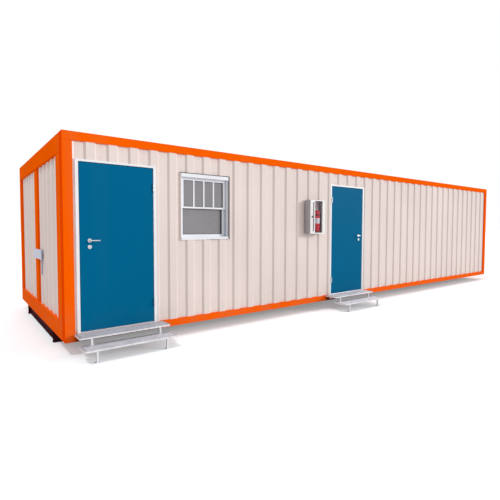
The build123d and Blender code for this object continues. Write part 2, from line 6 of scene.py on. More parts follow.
import bpy
from bpy.props import FloatProperty, FloatVectorProperty, IntProperty, PointerProperty
from mathutils import Matrix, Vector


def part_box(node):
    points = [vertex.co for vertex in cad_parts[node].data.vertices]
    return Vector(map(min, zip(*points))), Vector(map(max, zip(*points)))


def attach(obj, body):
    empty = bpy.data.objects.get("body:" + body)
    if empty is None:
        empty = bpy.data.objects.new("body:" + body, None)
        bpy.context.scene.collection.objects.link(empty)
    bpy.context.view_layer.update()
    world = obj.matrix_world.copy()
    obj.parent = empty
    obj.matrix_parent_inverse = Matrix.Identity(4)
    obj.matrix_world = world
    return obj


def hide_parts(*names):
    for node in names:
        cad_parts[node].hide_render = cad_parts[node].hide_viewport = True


bl_info = {
    "name": "Portable Site Cabin",
    "version": (1, 0, 0),
    "blender": (4, 5, 0),
    "location": "View3D > Sidebar > Cabin",
    "description": "Finishes, small fittings and the studio for a portable site cabin",
    "category": "Object",
}

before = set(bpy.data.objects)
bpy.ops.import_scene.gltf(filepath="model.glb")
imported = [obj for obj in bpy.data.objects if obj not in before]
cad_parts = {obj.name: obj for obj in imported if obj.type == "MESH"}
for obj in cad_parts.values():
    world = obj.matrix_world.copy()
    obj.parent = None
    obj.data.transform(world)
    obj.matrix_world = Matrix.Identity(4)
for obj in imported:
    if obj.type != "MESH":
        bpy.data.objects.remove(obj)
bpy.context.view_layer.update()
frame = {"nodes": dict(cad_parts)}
nodes = frame["nodes"]

# Sizes of the CAD pieces that their boxes in the frame don't give, in metres
SHEET_PITCH = 0.288
SHEET_DEPTH = 0.022
LINING = 0.012
DOOR_JAMB = 0.038
LEAF_GAP = 0.008
LEAF_THICKNESS = 0.045
ROSE_THICKNESS = 0.011
LEVER_HUB = 0.0085
KNUCKLE_RADIUS = 0.008
KNUCKLE_LENGTH = 0.050
HINGE_INSET = 0.272
SASH_THICKNESS = 0.028
MEETING_RAIL = 0.026
BAND_REACH = 0.026
CABINET_STILE = 0.110
SLOT_WIDTH = 0.036
SLOT_MARGIN = 0.044
TREAD_DEPTH = 0.248
TREAD_OVERLAP = 0.028
TREAD_DROP = 0.100
TREAD_PLATE = 0.005
STEP_POST = 0.025
LOCK_BAR = 0.026
# Where the sheet's valleys lie: the first one of the long sides, and the first one of each end bay
FIRST_VALLEY = -5.612
END_VALLEYS = (-0.918, 0.762)
VALLEYS_IN_A_BAY = 4
# How far the back wall's valleys are shifted against the front wall's
BACK_SHIFT = -0.008
# Distance of a screw from the edge of a wall sheet, and from the edge of the roof sheet
SCREW_EDGE = 0.045
ROOF_SCREW_EDGE = 0.05
# Distance between the joints of the lining boards, and of the floor covering
BOARD_WIDTH = 1.2
COVERING_WIDTH = 1.5
# Bevels of the room's trim boards, and of thin metal and rubber
TRIM_BEVEL = 0.003
FINE_BEVEL = 0.001
# Edges sharper than this many degrees stay sharp on turned and bent pieces
SHARP_ANGLE = 35

# Where most of a noise's values lie
NOISE_BAND = (0.3, 0.7)

# Tones of dirt and wear, and of the rail's painted shadow, in linear light
# Dark red of the treads' painted shadow on the rail, also used for the frame's joint lines
SHADOW_AND_JOINT_RED = (0.15, 0.02, 0.005)
CHIP = (0.16, 0.045, 0.03)
DUSTING = (0.42, 0.38, 0.35)
GLASS_DUST = (0.5, 0.47, 0.43)
JOINT = (0.12, 0.12, 0.12)
WHITE = (1.0, 1.0, 1.0)


# Shader maths


def python_operator(operation, swapped=False):
    """A method that adds a Math node, for one of Python's operators."""

    def method(self, other):
        return self.maths(operation, *((other, self) if swapped else (self, other)))

    return method


class Signal:
    """An output socket of a material, so that shader maths reads as an expression."""

    def __init__(self, shading, socket):
        self.shading = shading
        self.socket = socket

    def maths(self, operation, *values):
        return self.shading.add("Math", values, operation=operation)

    __add__ = __radd__ = python_operator("ADD")
    __sub__, __rsub__ = python_operator("SUBTRACT"), python_operator("SUBTRACT", swapped=True)
    __mul__ = __rmul__ = python_operator("MULTIPLY")
    __gt__ = python_operator("GREATER_THAN")
    __lt__ = python_operator("LESS_THAN")
    larger = python_operator("MAXIMUM")

    def absolute(self):
        return self.maths("ABSOLUTE", self)

    def wrapped(self, size):
        """The remainder after whole steps of a size."""
        return self.maths("WRAP", self, size, 0.0)

    def ramp(self, start, end, low=0.0, high=1.0):
        """A smooth change from low to high between two values."""
        inputs = {"Value": self, "From Min": start, "From Max": end, "To Min": low, "To Max": high}
        return self.shading.add("MapRange", inputs, interpolation_type="SMOOTHSTEP")


class Shading:
    """The nodes of a material or a world, under construction."""

    def __init__(self, owner, output_kind):
        self.owner = owner
        self.output_kind = output_kind
        owner.use_nodes = True
        self.tree = owner.node_tree
        self.tree.nodes.clear()

    def add(self, kind, inputs=(), output=0, **settings):
        """Adds a shader node: its settings first, then the values or links of its inputs."""
        node = self.tree.nodes.new(f"ShaderNode{kind}")
        for name, value in settings.items():
            setattr(node, name, value)
        pairs = inputs.items() if isinstance(inputs, dict) else enumerate(inputs)
        for key, value in pairs:
            if isinstance(value, Signal):
                self.tree.links.new(value.socket, node.inputs[key])
            else:
                node.inputs[key].default_value = value
        return Signal(self, node.outputs[output])

    def end(self, shader):
        output = self.tree.nodes.new(f"ShaderNode{self.output_kind}")
        self.tree.links.new(shader.socket, output.inputs["Surface"])
        return self.owner


class Finish(Shading):
    """The material of a surface, whose patterns lie in the row frame's metres."""

    def __init__(self, name):
        super().__init__(bpy.data.materials.new(name), "OutputMaterial")

    def place(self):
        return self.add("TexCoord", output="Object")

    def axis(self, letter):
        """One coordinate of the row frame."""
        return self.add("SeparateXYZ", [self.place()], output="XYZ".index(letter))

    def normal(self, letter):
        """One component of the surface's direction."""
        facing = self.add("NewGeometry", output="Normal")
        return self.add("SeparateXYZ", [facing], output="XYZ".index(letter))

    def noise(self, scale, detail=3.0, stretch=(1, 1, 1)):
        """Noise whose scale is in features per metre, stretched along the axes."""
        spread = self.add("VectorMath", [self.place(), stretch], operation="MULTIPLY")
        return self.add("TexNoise", {"Vector": spread, "Scale": scale, "Detail": detail})

    def uneven(self, scale, low, high, detail=3.0, stretch=(1, 1, 1)):
        """A number that wanders between low and high over the surface."""
        return self.noise(scale, detail, stretch).ramp(*NOISE_BAND, low, high)

    def cells(self, scale, output):
        """Cells whose scale is in cells per metre."""
        return self.add("TexVoronoi", {"Vector": self.place(), "Scale": scale}, output)

    def blend(self, share, first, second):
        """A colour between two colours."""
        inputs = {0: share, 6: first, 7: second}
        return self.add("Mix", inputs, output=2, data_type="RGBA", clamp_factor=True)

    def shade(self, colour, amount):
        """A colour times a number."""
        return self.add("VectorMath", {0: colour, "Scale": amount}, operation="SCALE")

    def surface(self, colour, roughness, relief=None, depth=0.0, strength=0.5, **shares):
        """Ends the material in one Principled shader. A relief of 0 to 1 stands a depth proud."""
        inputs = {"Base Color": colour, "Roughness": roughness}
        names = {"gloss": "Specular IOR Level", "metallic": "Metallic", "alpha": "Alpha"}
        inputs |= {names[share]: value for share, value in shares.items()}
        if relief:
            height = {"Height": relief, "Distance": depth, "Strength": strength}
            inputs["Normal"] = self.add("Bump", height)
        return self.end(self.add("BsdfPrincipled", inputs))


def rgba(colour):
    return (*colour, 1.0)


# Finishes


class Weather(NamedTuple):
    """How weather marks a paint: the dust's tone and height, and the shares of dust and rain streaks."""

    dust: tuple
    top: float
    dust_share: float
    streak_share: float


FRAME_WEATHER = Weather((0.30, 0.22, 0.17), 0.9, 0.16, 0.07)
PRIMER_WEATHER = Weather((0.16, 0.10, 0.09), 0.2, 0.12, 0.03)
DOOR_WEATHER = Weather((0.05, 0.16, 0.24), 0.7, 0.2, 0.05)
WALL_WEATHER = Weather((0.42, 0.33, 0.27), 0.75, 0.16, 0.05)


def weathered(finish, colour, weather):
    """A paint colour with soft fading, rain streaks and dust near the ground."""
    fading = finish.uneven(0.55, 0.955, 1.03, 2.0)
    streaks = finish.noise(3.2, 4.0, (1, 1, 0.05)).ramp(0.52, 0.75, 0.0, weather.streak_share)
    near_ground = finish.axis("Z").ramp(weather.top, 0.0, 0.0, weather.dust_share)
    grime = near_ground * finish.uneven(7.0, 0.0, 1.0, 5.0)
    return finish.blend(grime + streaks, finish.shade(colour, fading), rgba(weather.dust))


def steel_surface(finish, paint, roughness, gloss):
    """Sprayed paint on steel: fine orange peel on the slow waviness of the plate."""
    relief = finish.noise(420.0, 2.0) * 0.12 + finish.noise(2.6, 1.0) * 0.88
    uneven = finish.uneven(18.0, roughness - 0.05, roughness + 0.06)
    return finish.surface(paint, uneven, relief, 0.0012, gloss=gloss)


def chipped(finish, paint):
    """Small chips down to the primer, in patches."""
    spots = finish.cells(9.0, "Distance").ramp(0.035, 0.02) * finish.noise(2.1).ramp(0.60, 0.66)
    return finish.blend(spots, paint, rgba(CHIP))


def painted_steel(name, colour, roughness, weather, gloss):
    """Weathered and chipped paint on a steel plate."""
    finish = Finish(name)
    return steel_surface(finish, chipped(finish, weathered(finish, colour, weather)), roughness, gloss)


def frame_paint(colour, seam, lining):
    """Paint of the frame, with painted shade on the front posts' sides, the treads' painted shadow on the
    rail behind the steps, joint lines and a lined room.
    """
    finish = Finish("frame_orange")
    room = inner_room()
    # Painted shade: faces towards the ends, in front of the room, take the deeper orange of a shaded post
    # side
    shaded_post_side = (finish.axis("Y") < room[1][0]) * (finish.normal("X").absolute() > 0.5)
    paint = finish.blend(shaded_post_side, weathered(finish, colour, FRAME_WEATHER), rgba(seam))
    # Painted shadow of each pair of treads on the rail behind them
    for number in (1, 2):
        paint = painted_tread_shadow(finish, paint, span(f"step_{number}_treads"))
    paint = finish.blend(frame_joints(finish) * 0.3, chipped(finish, paint), rgba(SHADOW_AND_JOINT_RED))
    paint = finish.blend(in_room(finish, room), paint, rgba(lining))
    return steel_surface(finish, paint, 0.5, 0.0)


def painted_tread_shadow(finish, paint, treads):
    """Painted shadow of the upper tread: a blotchy dark red band on the outer face of the rail behind a pair
    of treads.
    """
    (left, right), _, (_, top) = treads
    top -= 0.02
    x = finish.axis("X")
    behind = x.ramp(left - 0.03, left + 0.05) * x.ramp(right + 0.03, right - 0.05)
    low = finish.axis("Z").ramp(top, top - 0.02) * finish.noise(14.0, 4.0).ramp(0.2, 0.6, 0.6, 0.9)
    outer = finish.normal("Y").ramp(-0.5, -0.9)
    return finish.blend(behind * low * outer, paint, rgba(SHADOW_AND_JOINT_RED))


def frame_joints(finish):
    """1 on the hairlines where the rails meet the posts, on the long sides."""
    (_, post_x), _, (_, low_z) = span("side_bottom_rails")
    rail_z = span("side_top_rails")[2][0]
    along, height = finish.axis("X").absolute(), finish.axis("Z")
    level = (height - rail_z).absolute().ramp(0.0045, 0.002) * (along > post_x - 0.003)
    upright = (along - post_x).absolute().ramp(0.0045, 0.002) * (height < low_z)
    return (level + upright) * (finish.normal("Y").absolute() > 0.5)


def in_room(finish, room):
    """1 on the surfaces that bound the room, 0 outside it."""
    inside = 1.0
    for letter, (low, high) in zip("XYZ", room):
        place = finish.axis(letter)
        inside = inside * (place > low - 0.001) * (place < high + 0.001)
    return inside


def seams(finish, letter, width, half_line):
    """1 on the joints of boards or strips of a width, counted from far outside the cabin."""
    return (finish.axis(letter) + 100.0).wrapped(width).ramp(half_line * 2, half_line)


def wall_sheet(side, colours, inner, axis, toward):
    """Coil coated profiled sheet outside, a jointed laminate board on the room's side, and bare cut edges."""
    finish = Finish(f"{side}_sheet")
    joint = seams(finish, "X" if axis == "Y" else "Y", BOARD_WIDTH, 0.006)
    board = finish.blend(joint, rgba(colours.lining), finish.shade(colours.lining, 0.55))
    depth = finish.axis(axis)
    room_side = (depth > inner) if toward > 0 else (depth < inner)
    skin = finish.blend(room_side, weathered(finish, colours.sheet, WALL_WEATHER), board)
    edge = finish.normal(axis).absolute() < 0.3
    coat = finish.blend(edge, skin, rgba(colours.cut))
    grain = finish.noise(90.0, 3.0, (1, 1, 0.25))
    return finish.surface(coat, finish.uneven(25.0, 0.46, 0.58), grain, 0.0005, gloss=0.1)


def galvanised(name, colour, lip, between_treads):
    """Zinc coated steel with soft spangle, paler on its upright lips and on the lower tread."""
    finish = Finish(name)
    lower = finish.axis("Z").ramp(between_treads + 0.01, between_treads - 0.01)
    plate = finish.blend(lower, rgba(colour), finish.shade(colour, 1.5))
    upright = finish.normal("Z").absolute() < 0.5
    spangle = finish.add("SeparateColor", [finish.cells(70.0, "Color")])
    tone = spangle.ramp(0.0, 1.0, 0.86, 1.06) * finish.uneven(6.0, 0.93, 1.05)
    coat = finish.shade(finish.blend(upright, plate, rgba(lip)), tone)
    uneven = finish.uneven(60.0, 0.39, 0.53)
    return finish.surface(coat, uneven, finish.noise(150.0), 0.0004, 0.6, metallic=0.2)


def brushed_steel(name, colour, stretch):
    """Satin stainless steel with fine brush lines."""
    finish = Finish(name)
    lines = finish.noise(260.0, 3.0, stretch)
    tone = finish.shade(colour, lines.ramp(*NOISE_BAND, 0.92, 1.04))
    return finish.surface(tone, lines.ramp(*NOISE_BAND, 0.26, 0.38), lines, 0.0002, metallic=0.85)


def coated(name, colour, roughness, gloss=0.35, reveal=None, inside=None):
    """Powder coat or moulded plastic. A given reveal tone is painted shade on the faces that look to the
    left; a given inside tone is the paint inside a box, made paler to lift its shade.
    """
    finish = Finish(name)
    tone = finish.shade(colour, finish.uneven(3.0, 0.96, 1.02, 2.0))
    if reveal:
        # Painted shade on the faces that look to the left, as in a right reveal
        tone = finish.blend(finish.normal("X") < -0.6, tone, rgba(reveal))
    if inside:
        # Painted light: the inside takes a paler paint that lifts its shade
        tone = finish.blend(in_room(finish, inside[0]), tone, rgba(inside[1]))
    dusted = finish.blend(finish.noise(40.0, 4.0).ramp(0.55, 0.75, 0.0, 0.06), tone, rgba(DUSTING))
    uneven = finish.uneven(30.0, roughness - 0.04, roughness + 0.05)
    return finish.surface(dusted, uneven, finish.noise(300.0, 2.0), 0.0003, gloss=gloss)


def lining_trim(name, dark, pale, x_limit, z_limit):
    """Folded trim, dark in the shade at the right and at the head, and pale elsewhere."""
    finish = Finish(name)
    shaded = (finish.axis("X") > x_limit).larger(finish.axis("Z") > z_limit)
    worn = finish.uneven(30.0, 0.92, 1.04, 4.0)
    tone = finish.shade(finish.blend(shaded, rgba(pale), rgba(dark)), worn)
    return finish.surface(tone, worn.ramp(0.92, 1.04, 0.55, 0.45), worn, 0.0003, 0.4, gloss=0.2)


def two_tone(name, plate, bar_colour, edge):
    """Coated plate whose bar, before a limit along Y, has its own colour."""
    finish = Finish(name)
    tone = finish.blend(finish.axis("Y") < edge, rgba(plate), rgba(bar_colour))
    scratches = finish.noise(260.0, 4.0, (1, 1, 0.15)).ramp(0.35, 0.75, 1.0, 0.9)
    uneven = finish.uneven(30.0, 0.38, 0.5)
    return finish.surface(finish.shade(tone, scratches), uneven, scratches, 0.0003, gloss=0.1)


def window_film(name, colour, right, meeting, shade_widths):
    """Glass with a grey sun film: a faint wash of dust, and the stile's shade along its right edge."""
    finish = Finish(name)
    wash = finish.noise(2.2, 4.0, (1, 1, 0.5)).ramp(0.3, 0.75, 0.97, 1.05)
    dust = finish.noise(14.0, 5.0).ramp(0.55, 0.8, 0.0, 0.05)
    upper, lower = shade_widths
    width = (finish.axis("Z") < meeting) * (lower - upper) + upper
    shaded = (finish.axis("X") + width).ramp(right - 0.003, right + 0.003, 1.0, 0.3)
    film = finish.blend(dust, finish.shade(finish.shade(colour, wash), shaded), rgba(GLASS_DUST))
    roughness = finish.noise(5.0, 4.0).ramp(0.3, 0.8, 0.05, 0.12)
    return finish.surface(film, roughness, gloss=0.06, alpha=dust + 0.9)


def clear_pane(name, colour):
    """Clear acrylic, a little scuffed."""
    finish = Finish(name)
    scuffs = finish.noise(60.0, 5.0, (1, 1, 0.3)).ramp(0.6, 0.8, 0.0, 0.12)
    return finish.surface(rgba(colour), scuffs + 0.06, gloss=0.05, alpha=scuffs * 0.5 + 0.04)


def floor_covering(name, colour):
    """Speckled sheet vinyl with welded joints."""
    finish = Finish(name)
    speckle = finish.noise(240.0, 2.0).ramp(0.42, 0.6, 0.82, 1.12)
    scuffed = finish.noise(4.0, 5.0, (1, 0.5, 1)).ramp(0.45, 0.75, 1.0, 0.82)
    tone = finish.shade(colour, speckle * scuffed)
    vinyl = finish.blend(seams(finish, "Y", COVERING_WIDTH, 0.004), tone, rgba(JOINT))
    roughness = scuffed.ramp(0.82, 1.0, 0.62, 0.45)
    return finish.surface(vinyl, roughness, finish.noise(500.0), 0.0002, 0.4, gloss=0.3)


def bottle_paint(name, red, label, low, high):
    """Gloss red paint with a blank pale label band between two heights."""
    finish = Finish(name)
    height = finish.axis("Z")
    band = height.ramp(low - 0.0005, low + 0.0005) * height.ramp(high + 0.0005, high - 0.0005)
    body = finish.shade(red, finish.uneven(8.0, 0.92, 1.05))
    paper = finish.shade(label, finish.uneven(90.0, 0.95, 1.0))
    roughness = band.ramp(0.0, 1.0, 0.18, 0.5) + finish.noise(50.0) * 0.06
    relief = finish.noise(300.0) * 0.3 + band
    return finish.surface(finish.blend(band, body, paper), roughness, relief, 0.0003, gloss=0.4)


# Places and finishes of the frame's own pieces


def span(node):
    """The three pairs of limits of a CAD node."""
    return tuple(zip(*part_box(node)))


def middle(pair):
    return (pair[0] + pair[1]) / 2


def extent(pair):
    return pair[1] - pair[0]


def around(centre, half):
    """The pair of limits at half a width on both sides of a centre."""
    return centre - half, centre + half


def reach(start, first, last):
    """The pair of limits at two distances from a start."""
    return start + first, start + last


def inner_room():
    """Limits of the room between the linings, the floor and the ceiling."""
    ends = span("left_end_bays")[0][1], span("right_end_bays")[0][0]
    sides = span("front_wall_right_run")[1][1], span("back_wall")[1][0]
    return ends, sides, span("back_wall")[2]


def dress(material, slot, *names):
    """Gives CAD nodes a finish. The slot is not used."""
    for name in names:
        node = nodes[name]
        node.data.materials.clear()
        node.data.materials.append(material)


# Modelling


def clear_selection():
    if bpy.context.object and bpy.context.object.mode != "OBJECT":
        bpy.ops.object.mode_set(mode="OBJECT")
    bpy.ops.object.select_all(action="DESELECT")


def pick(piece):
    """Makes a piece the only selected one."""
    clear_selection()
    piece.select_set(True)
    bpy.context.view_layer.objects.active = piece


@contextmanager
def editing(piece):
    """Edit mode, with the whole piece selected."""
    pick(piece)
    bpy.ops.object.mode_set(mode="EDIT")
    bpy.ops.mesh.select_all(action="SELECT")
    yield
    bpy.ops.object.mode_set(mode="OBJECT")


def settle(piece, name):
    """Names the piece and puts its place into its mesh."""
    pick(piece)
    piece.name = name
    piece.data.name = name
    bpy.ops.object.transform_apply(location=True, rotation=True, scale=True)
    return piece


def bar(name, x_span, y_span, z_span, bevel):
    """A bar between three pairs of limits, with its edges bevelled."""
    clear_selection()
    spans = (x_span, y_span, z_span)
    bpy.ops.mesh.primitive_cube_add(size=1, location=[middle(pair) for pair in spans],
                                    scale=[extent(pair) for pair in spans])
    piece = settle(bpy.context.object, name)
    with editing(piece):
        bpy.ops.mesh.bevel(offset=bevel, segments=2, affect="EDGES")
    return piece


TURNS = {
    "X": (0, math.pi / 2, 0),
    "-X": (0, -math.pi / 2, 0),
    "Y": (-math.pi / 2, 0, 0),
    "-Y": (math.pi / 2, 0, 0),
    "Z": (0, 0, 0),
    "-Z": (math.pi, 0, 0),
}


def turned(name, place, direction, profile, sides):
    """A turned piece: a disc extruded and resized along a profile of radius and height."""
    clear_selection()
    radius, height = profile[0]
    bpy.ops.mesh.primitive_circle_add(vertices=sides, radius=radius, fill_type="NGON",
                                      location=(0, 0, height))
    piece = settle(bpy.context.object, name)
    with editing(piece):
        for next_radius, next_height in profile[1:]:
            rise = (0, 0, next_height - height)
            bpy.ops.mesh.extrude_region_move(TRANSFORM_OT_translate={"value": rise})
            share = next_radius / radius
            bpy.ops.transform.resize(value=(share, share, 1), center_override=(0, 0, next_height))
            radius, height = next_radius, next_height
        bpy.ops.mesh.select_all(action="SELECT")
        bpy.ops.mesh.normals_make_consistent(inside=False)
    piece.rotation_euler = TURNS[direction]
    piece.location = place
    return smooth(settle(piece, name))


def sleeve(name, place, radius, height, wall):
    """An upright open tube: a cylinder without ends, thickened outwards and bevelled."""
    clear_selection()
    bpy.ops.mesh.primitive_cylinder_add(vertices=28, radius=radius + wall / 2, depth=height,
                                        end_fill_type="NOTHING",
                                        location=(place[0], place[1], place[2] + height / 2))
    return smooth(thickened(settle(bpy.context.object, name), wall, wall / 3))


def ring(name, x_span, y_span, z_span, width, bevel):
    """A rectangular ring in an upright plane: a sheet inset, its middle deleted, thickened and bevelled."""
    clear_selection()
    bpy.ops.mesh.primitive_plane_add(size=1, location=[middle(pair) for pair in (x_span, y_span, z_span)],
                                     rotation=(math.pi / 2, 0, 0))
    piece = bpy.context.object
    piece.scale = (extent(x_span), extent(z_span), 1)
    with editing(settle(piece, name)):
        bpy.ops.mesh.inset(thickness=width)
        bpy.ops.mesh.delete(type="FACE")
    return thickened(piece, extent(y_span), bevel)


def hoop(name, place, radius, wire):
    """An upright wire ring, drawn out a little downwards."""
    clear_selection()
    bpy.ops.mesh.primitive_torus_add(major_radius=radius, minor_radius=wire, major_segments=32,
                                     minor_segments=8, location=place, rotation=(math.pi / 2, 0, 0))
    piece = settle(bpy.context.object, name)
    with editing(piece):
        bpy.ops.transform.resize(value=(0.9, 1, 1.15),
                                 center_override=(place[0], place[1], place[2] + radius))
    return smooth(piece)


def thickened(piece, thickness, bevel):
    """Gives a sheet its thickness to both sides, and bevels the edges."""
    pick(piece)
    shell = piece.modifiers.new("thickness", "SOLIDIFY")
    shell.thickness = thickness
    shell.offset = 0
    bpy.ops.object.modifier_apply(modifier=shell.name)
    edge = piece.modifiers.new("edge", "BEVEL")
    edge.width = bevel
    edge.segments = 2
    edge.limit_method = "ANGLE"
    bpy.ops.object.modifier_apply(modifier=edge.name)
    return piece


def lever_bar(name, x_span, y, z, width, thickness, tilt):
    """A flat lever whose outer part is bent by a tilt in degrees."""
    clear_selection()
    bpy.ops.mesh.primitive_plane_add(size=1, location=(middle(x_span), y, z))
    piece = bpy.context.object
    piece.scale = (extent(x_span), width, 1)
    bend_x = x_span[0] + extent(x_span) * 0.6
    with editing(settle(piece, name)):
        bpy.ops.mesh.subdivide(number_cuts=5)
        bpy.ops.mesh.select_all(action="DESELECT")
    for point in piece.data.vertices:
        point.select = point.co.x < bend_x - 0.001
    bpy.ops.object.mode_set(mode="EDIT")
    bpy.ops.transform.rotate(value=math.radians(tilt), orient_axis="Y", center_override=(bend_x, y, z))
    bpy.ops.object.mode_set(mode="OBJECT")
    return smooth(thickened(piece, thickness, thickness / 4))


def smooth(piece):
    """Smooth shading that keeps the sharper edges."""
    pick(piece)
    bpy.ops.object.shade_smooth_by_angle(angle=math.radians(SHARP_ANGLE))
    return piece


def repeated(piece, offsets):
    """Copies of a piece at each offset, joined into one mesh."""
    copies = []
    for offset in offsets:
        twin = piece.copy()
        twin.data = piece.data.copy()
        twin.data.transform(Matrix.Translation(offset))
        bpy.context.collection.objects.link(twin)
        copies.append(twin)
    name = piece.name
    bpy.data.objects.remove(piece)
    return joined(name, copies)


def joined(name, pieces):
    """Several pieces joined into one mesh."""
    clear_selection()
    for piece in pieces:
        piece.select_set(True)
    bpy.context.view_layer.objects.active = pieces[0]
    bpy.ops.object.join()
    piece = bpy.context.object
    piece.name = name
    piece.data.name = name
    return piece


def fit(piece, material, body="cabin"):
    """Finishes a new piece and hangs it on its body."""
    piece.data.materials.clear()
    piece.data.materials.append(material)
    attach(piece, body)


# Settings


def colour(name, description, default):
    return FloatVectorProperty(name=name, description=description, subtype="COLOR", default=default,
                               min=0, max=1)


def length(name, description, default):
    return FloatProperty(name=name, description=description, subtype="DISTANCE", unit="LENGTH",
                         default=default, min=0)


def number(name, description, default, lowest=0):
    return FloatProperty(name=name, description=description, default=default, min=lowest)


def count(name, description, default, lowest=0):
    return IntProperty(name=name, description=description, default=default, min=lowest)


def angle(name, description, degrees):
    return FloatProperty(name=name, description=description, subtype="ANGLE", unit="ROTATION",
                         default=math.radians(degrees))


def aim(name, *degrees):
    description = "Height above the horizon, turn to the right, and softness"
    return FloatVectorProperty(name=name, description=description, subtype="EULER", unit="ROTATION",
                               default=[math.radians(each) for each in degrees])


class CabinColours(bpy.types.PropertyGroup):
    """Colours of the cabin, in linear light."""

    frame: colour("Frame", "Paint of the steel frame", (0.97, 0.12, 0.0))
    # Painted shade: this deeper orange stands for the shade on the sides of the front posts
    seam: colour("Post sides", "Paint of the front posts' sides, in a deeper coat", (0.90, 0.068, 0.0))
    sheet: colour("Wall sheet", "Coating of the profiled sheet", (0.815, 0.712, 0.682))
    # Painted light: paler than the wall sheet, to lift the shade in the strip's groove beside door 1
    strip: colour("Corner strip", "Closing strip between the front post and door 1", (0.97, 0.93, 0.91))
    cut: colour("Cut edges", "Bare edges of the wall panels at the openings", (0.28, 0.26, 0.28))
    lining: colour("Lining", "Laminate board inside the room", (0.72, 0.71, 0.68))
    lining_trim: colour("Room trims", "Skirting boards and battens of the room", (0.60, 0.59, 0.57))
    skid: colour("Skids", "Primer on skids and bearers", (0.050, 0.007, 0.013))
    door: colour("Doors", "Paint of the door leaves", (0.0, 0.131, 0.278))
    trim: colour("Door frames", "Powder coat of the door frames", (0.88, 0.89, 0.93))
    window: colour("Window frame", "Window frame and sashes", (0.86, 0.88, 0.93))
    reveal: colour("Window reveal", "Shaded side of the frame's right reveal", (0.52, 0.56, 0.65))
    glass: colour("Window glass", "Grey film on the window glass", (0.315, 0.305, 0.325))
    # Painted shade: the lining's dark tone at the right and at the head; its lit parts take the wall sheet's
    # colour
    lining_shade: colour("Window lining", "Sheet lining of the window's opening", (0.24, 0.22, 0.235))
    steel: colour("Fittings", "Satin steel levers, roses and hinges", (0.70, 0.72, 0.75))
    zinc: colour("Treads", "Galvanised door steps", (0.34, 0.33, 0.365))
    lip: colour("Tread lips", "Pale edges of the treads", (0.84, 0.84, 0.88))
    posts: colour("Step posts", "Pale coat on the posts of the steps", (0.82, 0.82, 0.86))
    box: colour("Cabinet box", "Grey coat of the cabinet's box", (0.36, 0.335, 0.35))
    # Paint inside the box, made much paler than the box to lift the shade inside it: painted light
    box_inside_paint_and_light: colour("Cabinet inside", "Paint inside the cabinet's box", (0.85, 0.72, 0.80))
    cabinet: colour("Cabinet door", "Powder coat of the cabinet's door", (0.84, 0.85, 0.85))
    pane: colour("Cabinet pane", "Clear acrylic of the cabinet's door", (0.30, 0.27, 0.31))
    bottle: colour("Extinguisher", "Gloss paint of the bottle", (0.66, 0.006, 0.032))
    label: colour("Blank label", "Blank band round the bottle", (0.80, 0.78, 0.84))
    brass: colour("Extinguisher head", "Brass of the extinguisher's head", (0.62, 0.43, 0.16))
    black: colour("Black parts", "Knob, strap, boot and seals", (0.012, 0.014, 0.014))
    lock_plate: colour("Lock plate", "Coat of the lock plate", (0.66, 0.70, 0.84))
    lock_bar: colour("Lock bar", "Coat of the bar beside the lock plate", (0.27, 0.31, 0.46))
    deck: colour("Floor covering", "Sheet vinyl of the floor", (0.27, 0.27, 0.26))
    ground: colour("Studio floor", "Pale studio floor, as the camera sees it", (0.86, 0.90, 0.94))
    bounce: colour("Bounced floor", "Studio floor, as it lights the cabin", (0.62, 0.62, 0.62))
    dome: colour("Dome", "Soft light from all round", (1.0, 0.98, 0.96))


class CabinLight(bpy.types.PropertyGroup):
    """Lamps, camera and studio floor."""

    dome: number("Dome", "Strength of the soft light from all round", 0.68)
    side: number("Side lamp", "Strength of the lamp at the front right", 1.56)
    side_aim: aim("Side lamp's aim", 15, 50, 14)
    top: number("Top lamp", "Strength of the lamp overhead", 0.92)
    top_aim: aim("Top lamp's aim", 66, -90, 5)
    back: number("Back lamp", "Strength of the lamp behind the cabin", 0.7)
    back_aim: aim("Back lamp's aim", 15, 165, 14)
    floor_glow: number("Floor glow", "How far the studio floor is lifted to white", 0.24)
    floor_width: length("Floor width", "Width of the studio floor", 400.0)
    eye: FloatVectorProperty(name="Camera place", description="Where the camera stands", unit="LENGTH",
                             subtype="TRANSLATION", default=(-7.1558, -6.5129, 1.5776))
    turn: angle("Camera turn", "Turn from the front normal to the right", 35.598)
    dip: angle("Camera dip", "Look down from level", 2.482)
    lens: number("Lens", "Focal length in millimetres", 27.41, 1)
    shift: FloatVectorProperty(name="Framing", description="Camera shift", size=2, default=(0.0437, -0.0107))


class CabinSizes(bpy.types.PropertyGroup):
    """Sizes of the small fittings."""

    screw_radius: length("Screw washer", "Radius of a sheet screw's washer", 0.008)
    board: length("Trim boards", "Thickness of the room's trim boards", 0.012)
    skirting: length("Skirting", "Height of the skirting boards", 0.08)
    batten: length("Battens", "Width of the ceiling and corner battens", 0.03)
    seal: length("Door seal", "Width of a door's seal", 0.009)
    lining_sheet: length("Lining sheet", "Thickness of the lining of the window's opening", 0.003)
    upper_shade: length("Upper shade", "Width of the stile's shade on the upper pane", 0.016)
    lower_shade: length("Lower shade", "Width of the stile's shade on the lower pane", 0.026)
    gasket: length("Glazing gasket", "Width of the gasket round the glass", 0.005)
    window_bar: length("Window bar", "Width of a bar of the upper sash", 0.026)
    window_bars: count("Window bars", "Upright bars in the upper sash", 3)
    grip_rib: length("Grip rib", "Height of a grip rib on a tread", 0.002)
    grip_ribs: count("Grip ribs", "Ribs on each tread", 9, 2)
    foot_plate: length("Foot plate", "Side of the plate under a step post", 0.056)


GROUPS = {"cabin_colours": CabinColours, "cabin_light": CabinLight, "cabin_sizes": CabinSizes}


def settings():
    """Colours, light and sizes, as the sidebar has them."""
    return [getattr(bpy.context.scene, name) for name in GROUPS]


# Operators


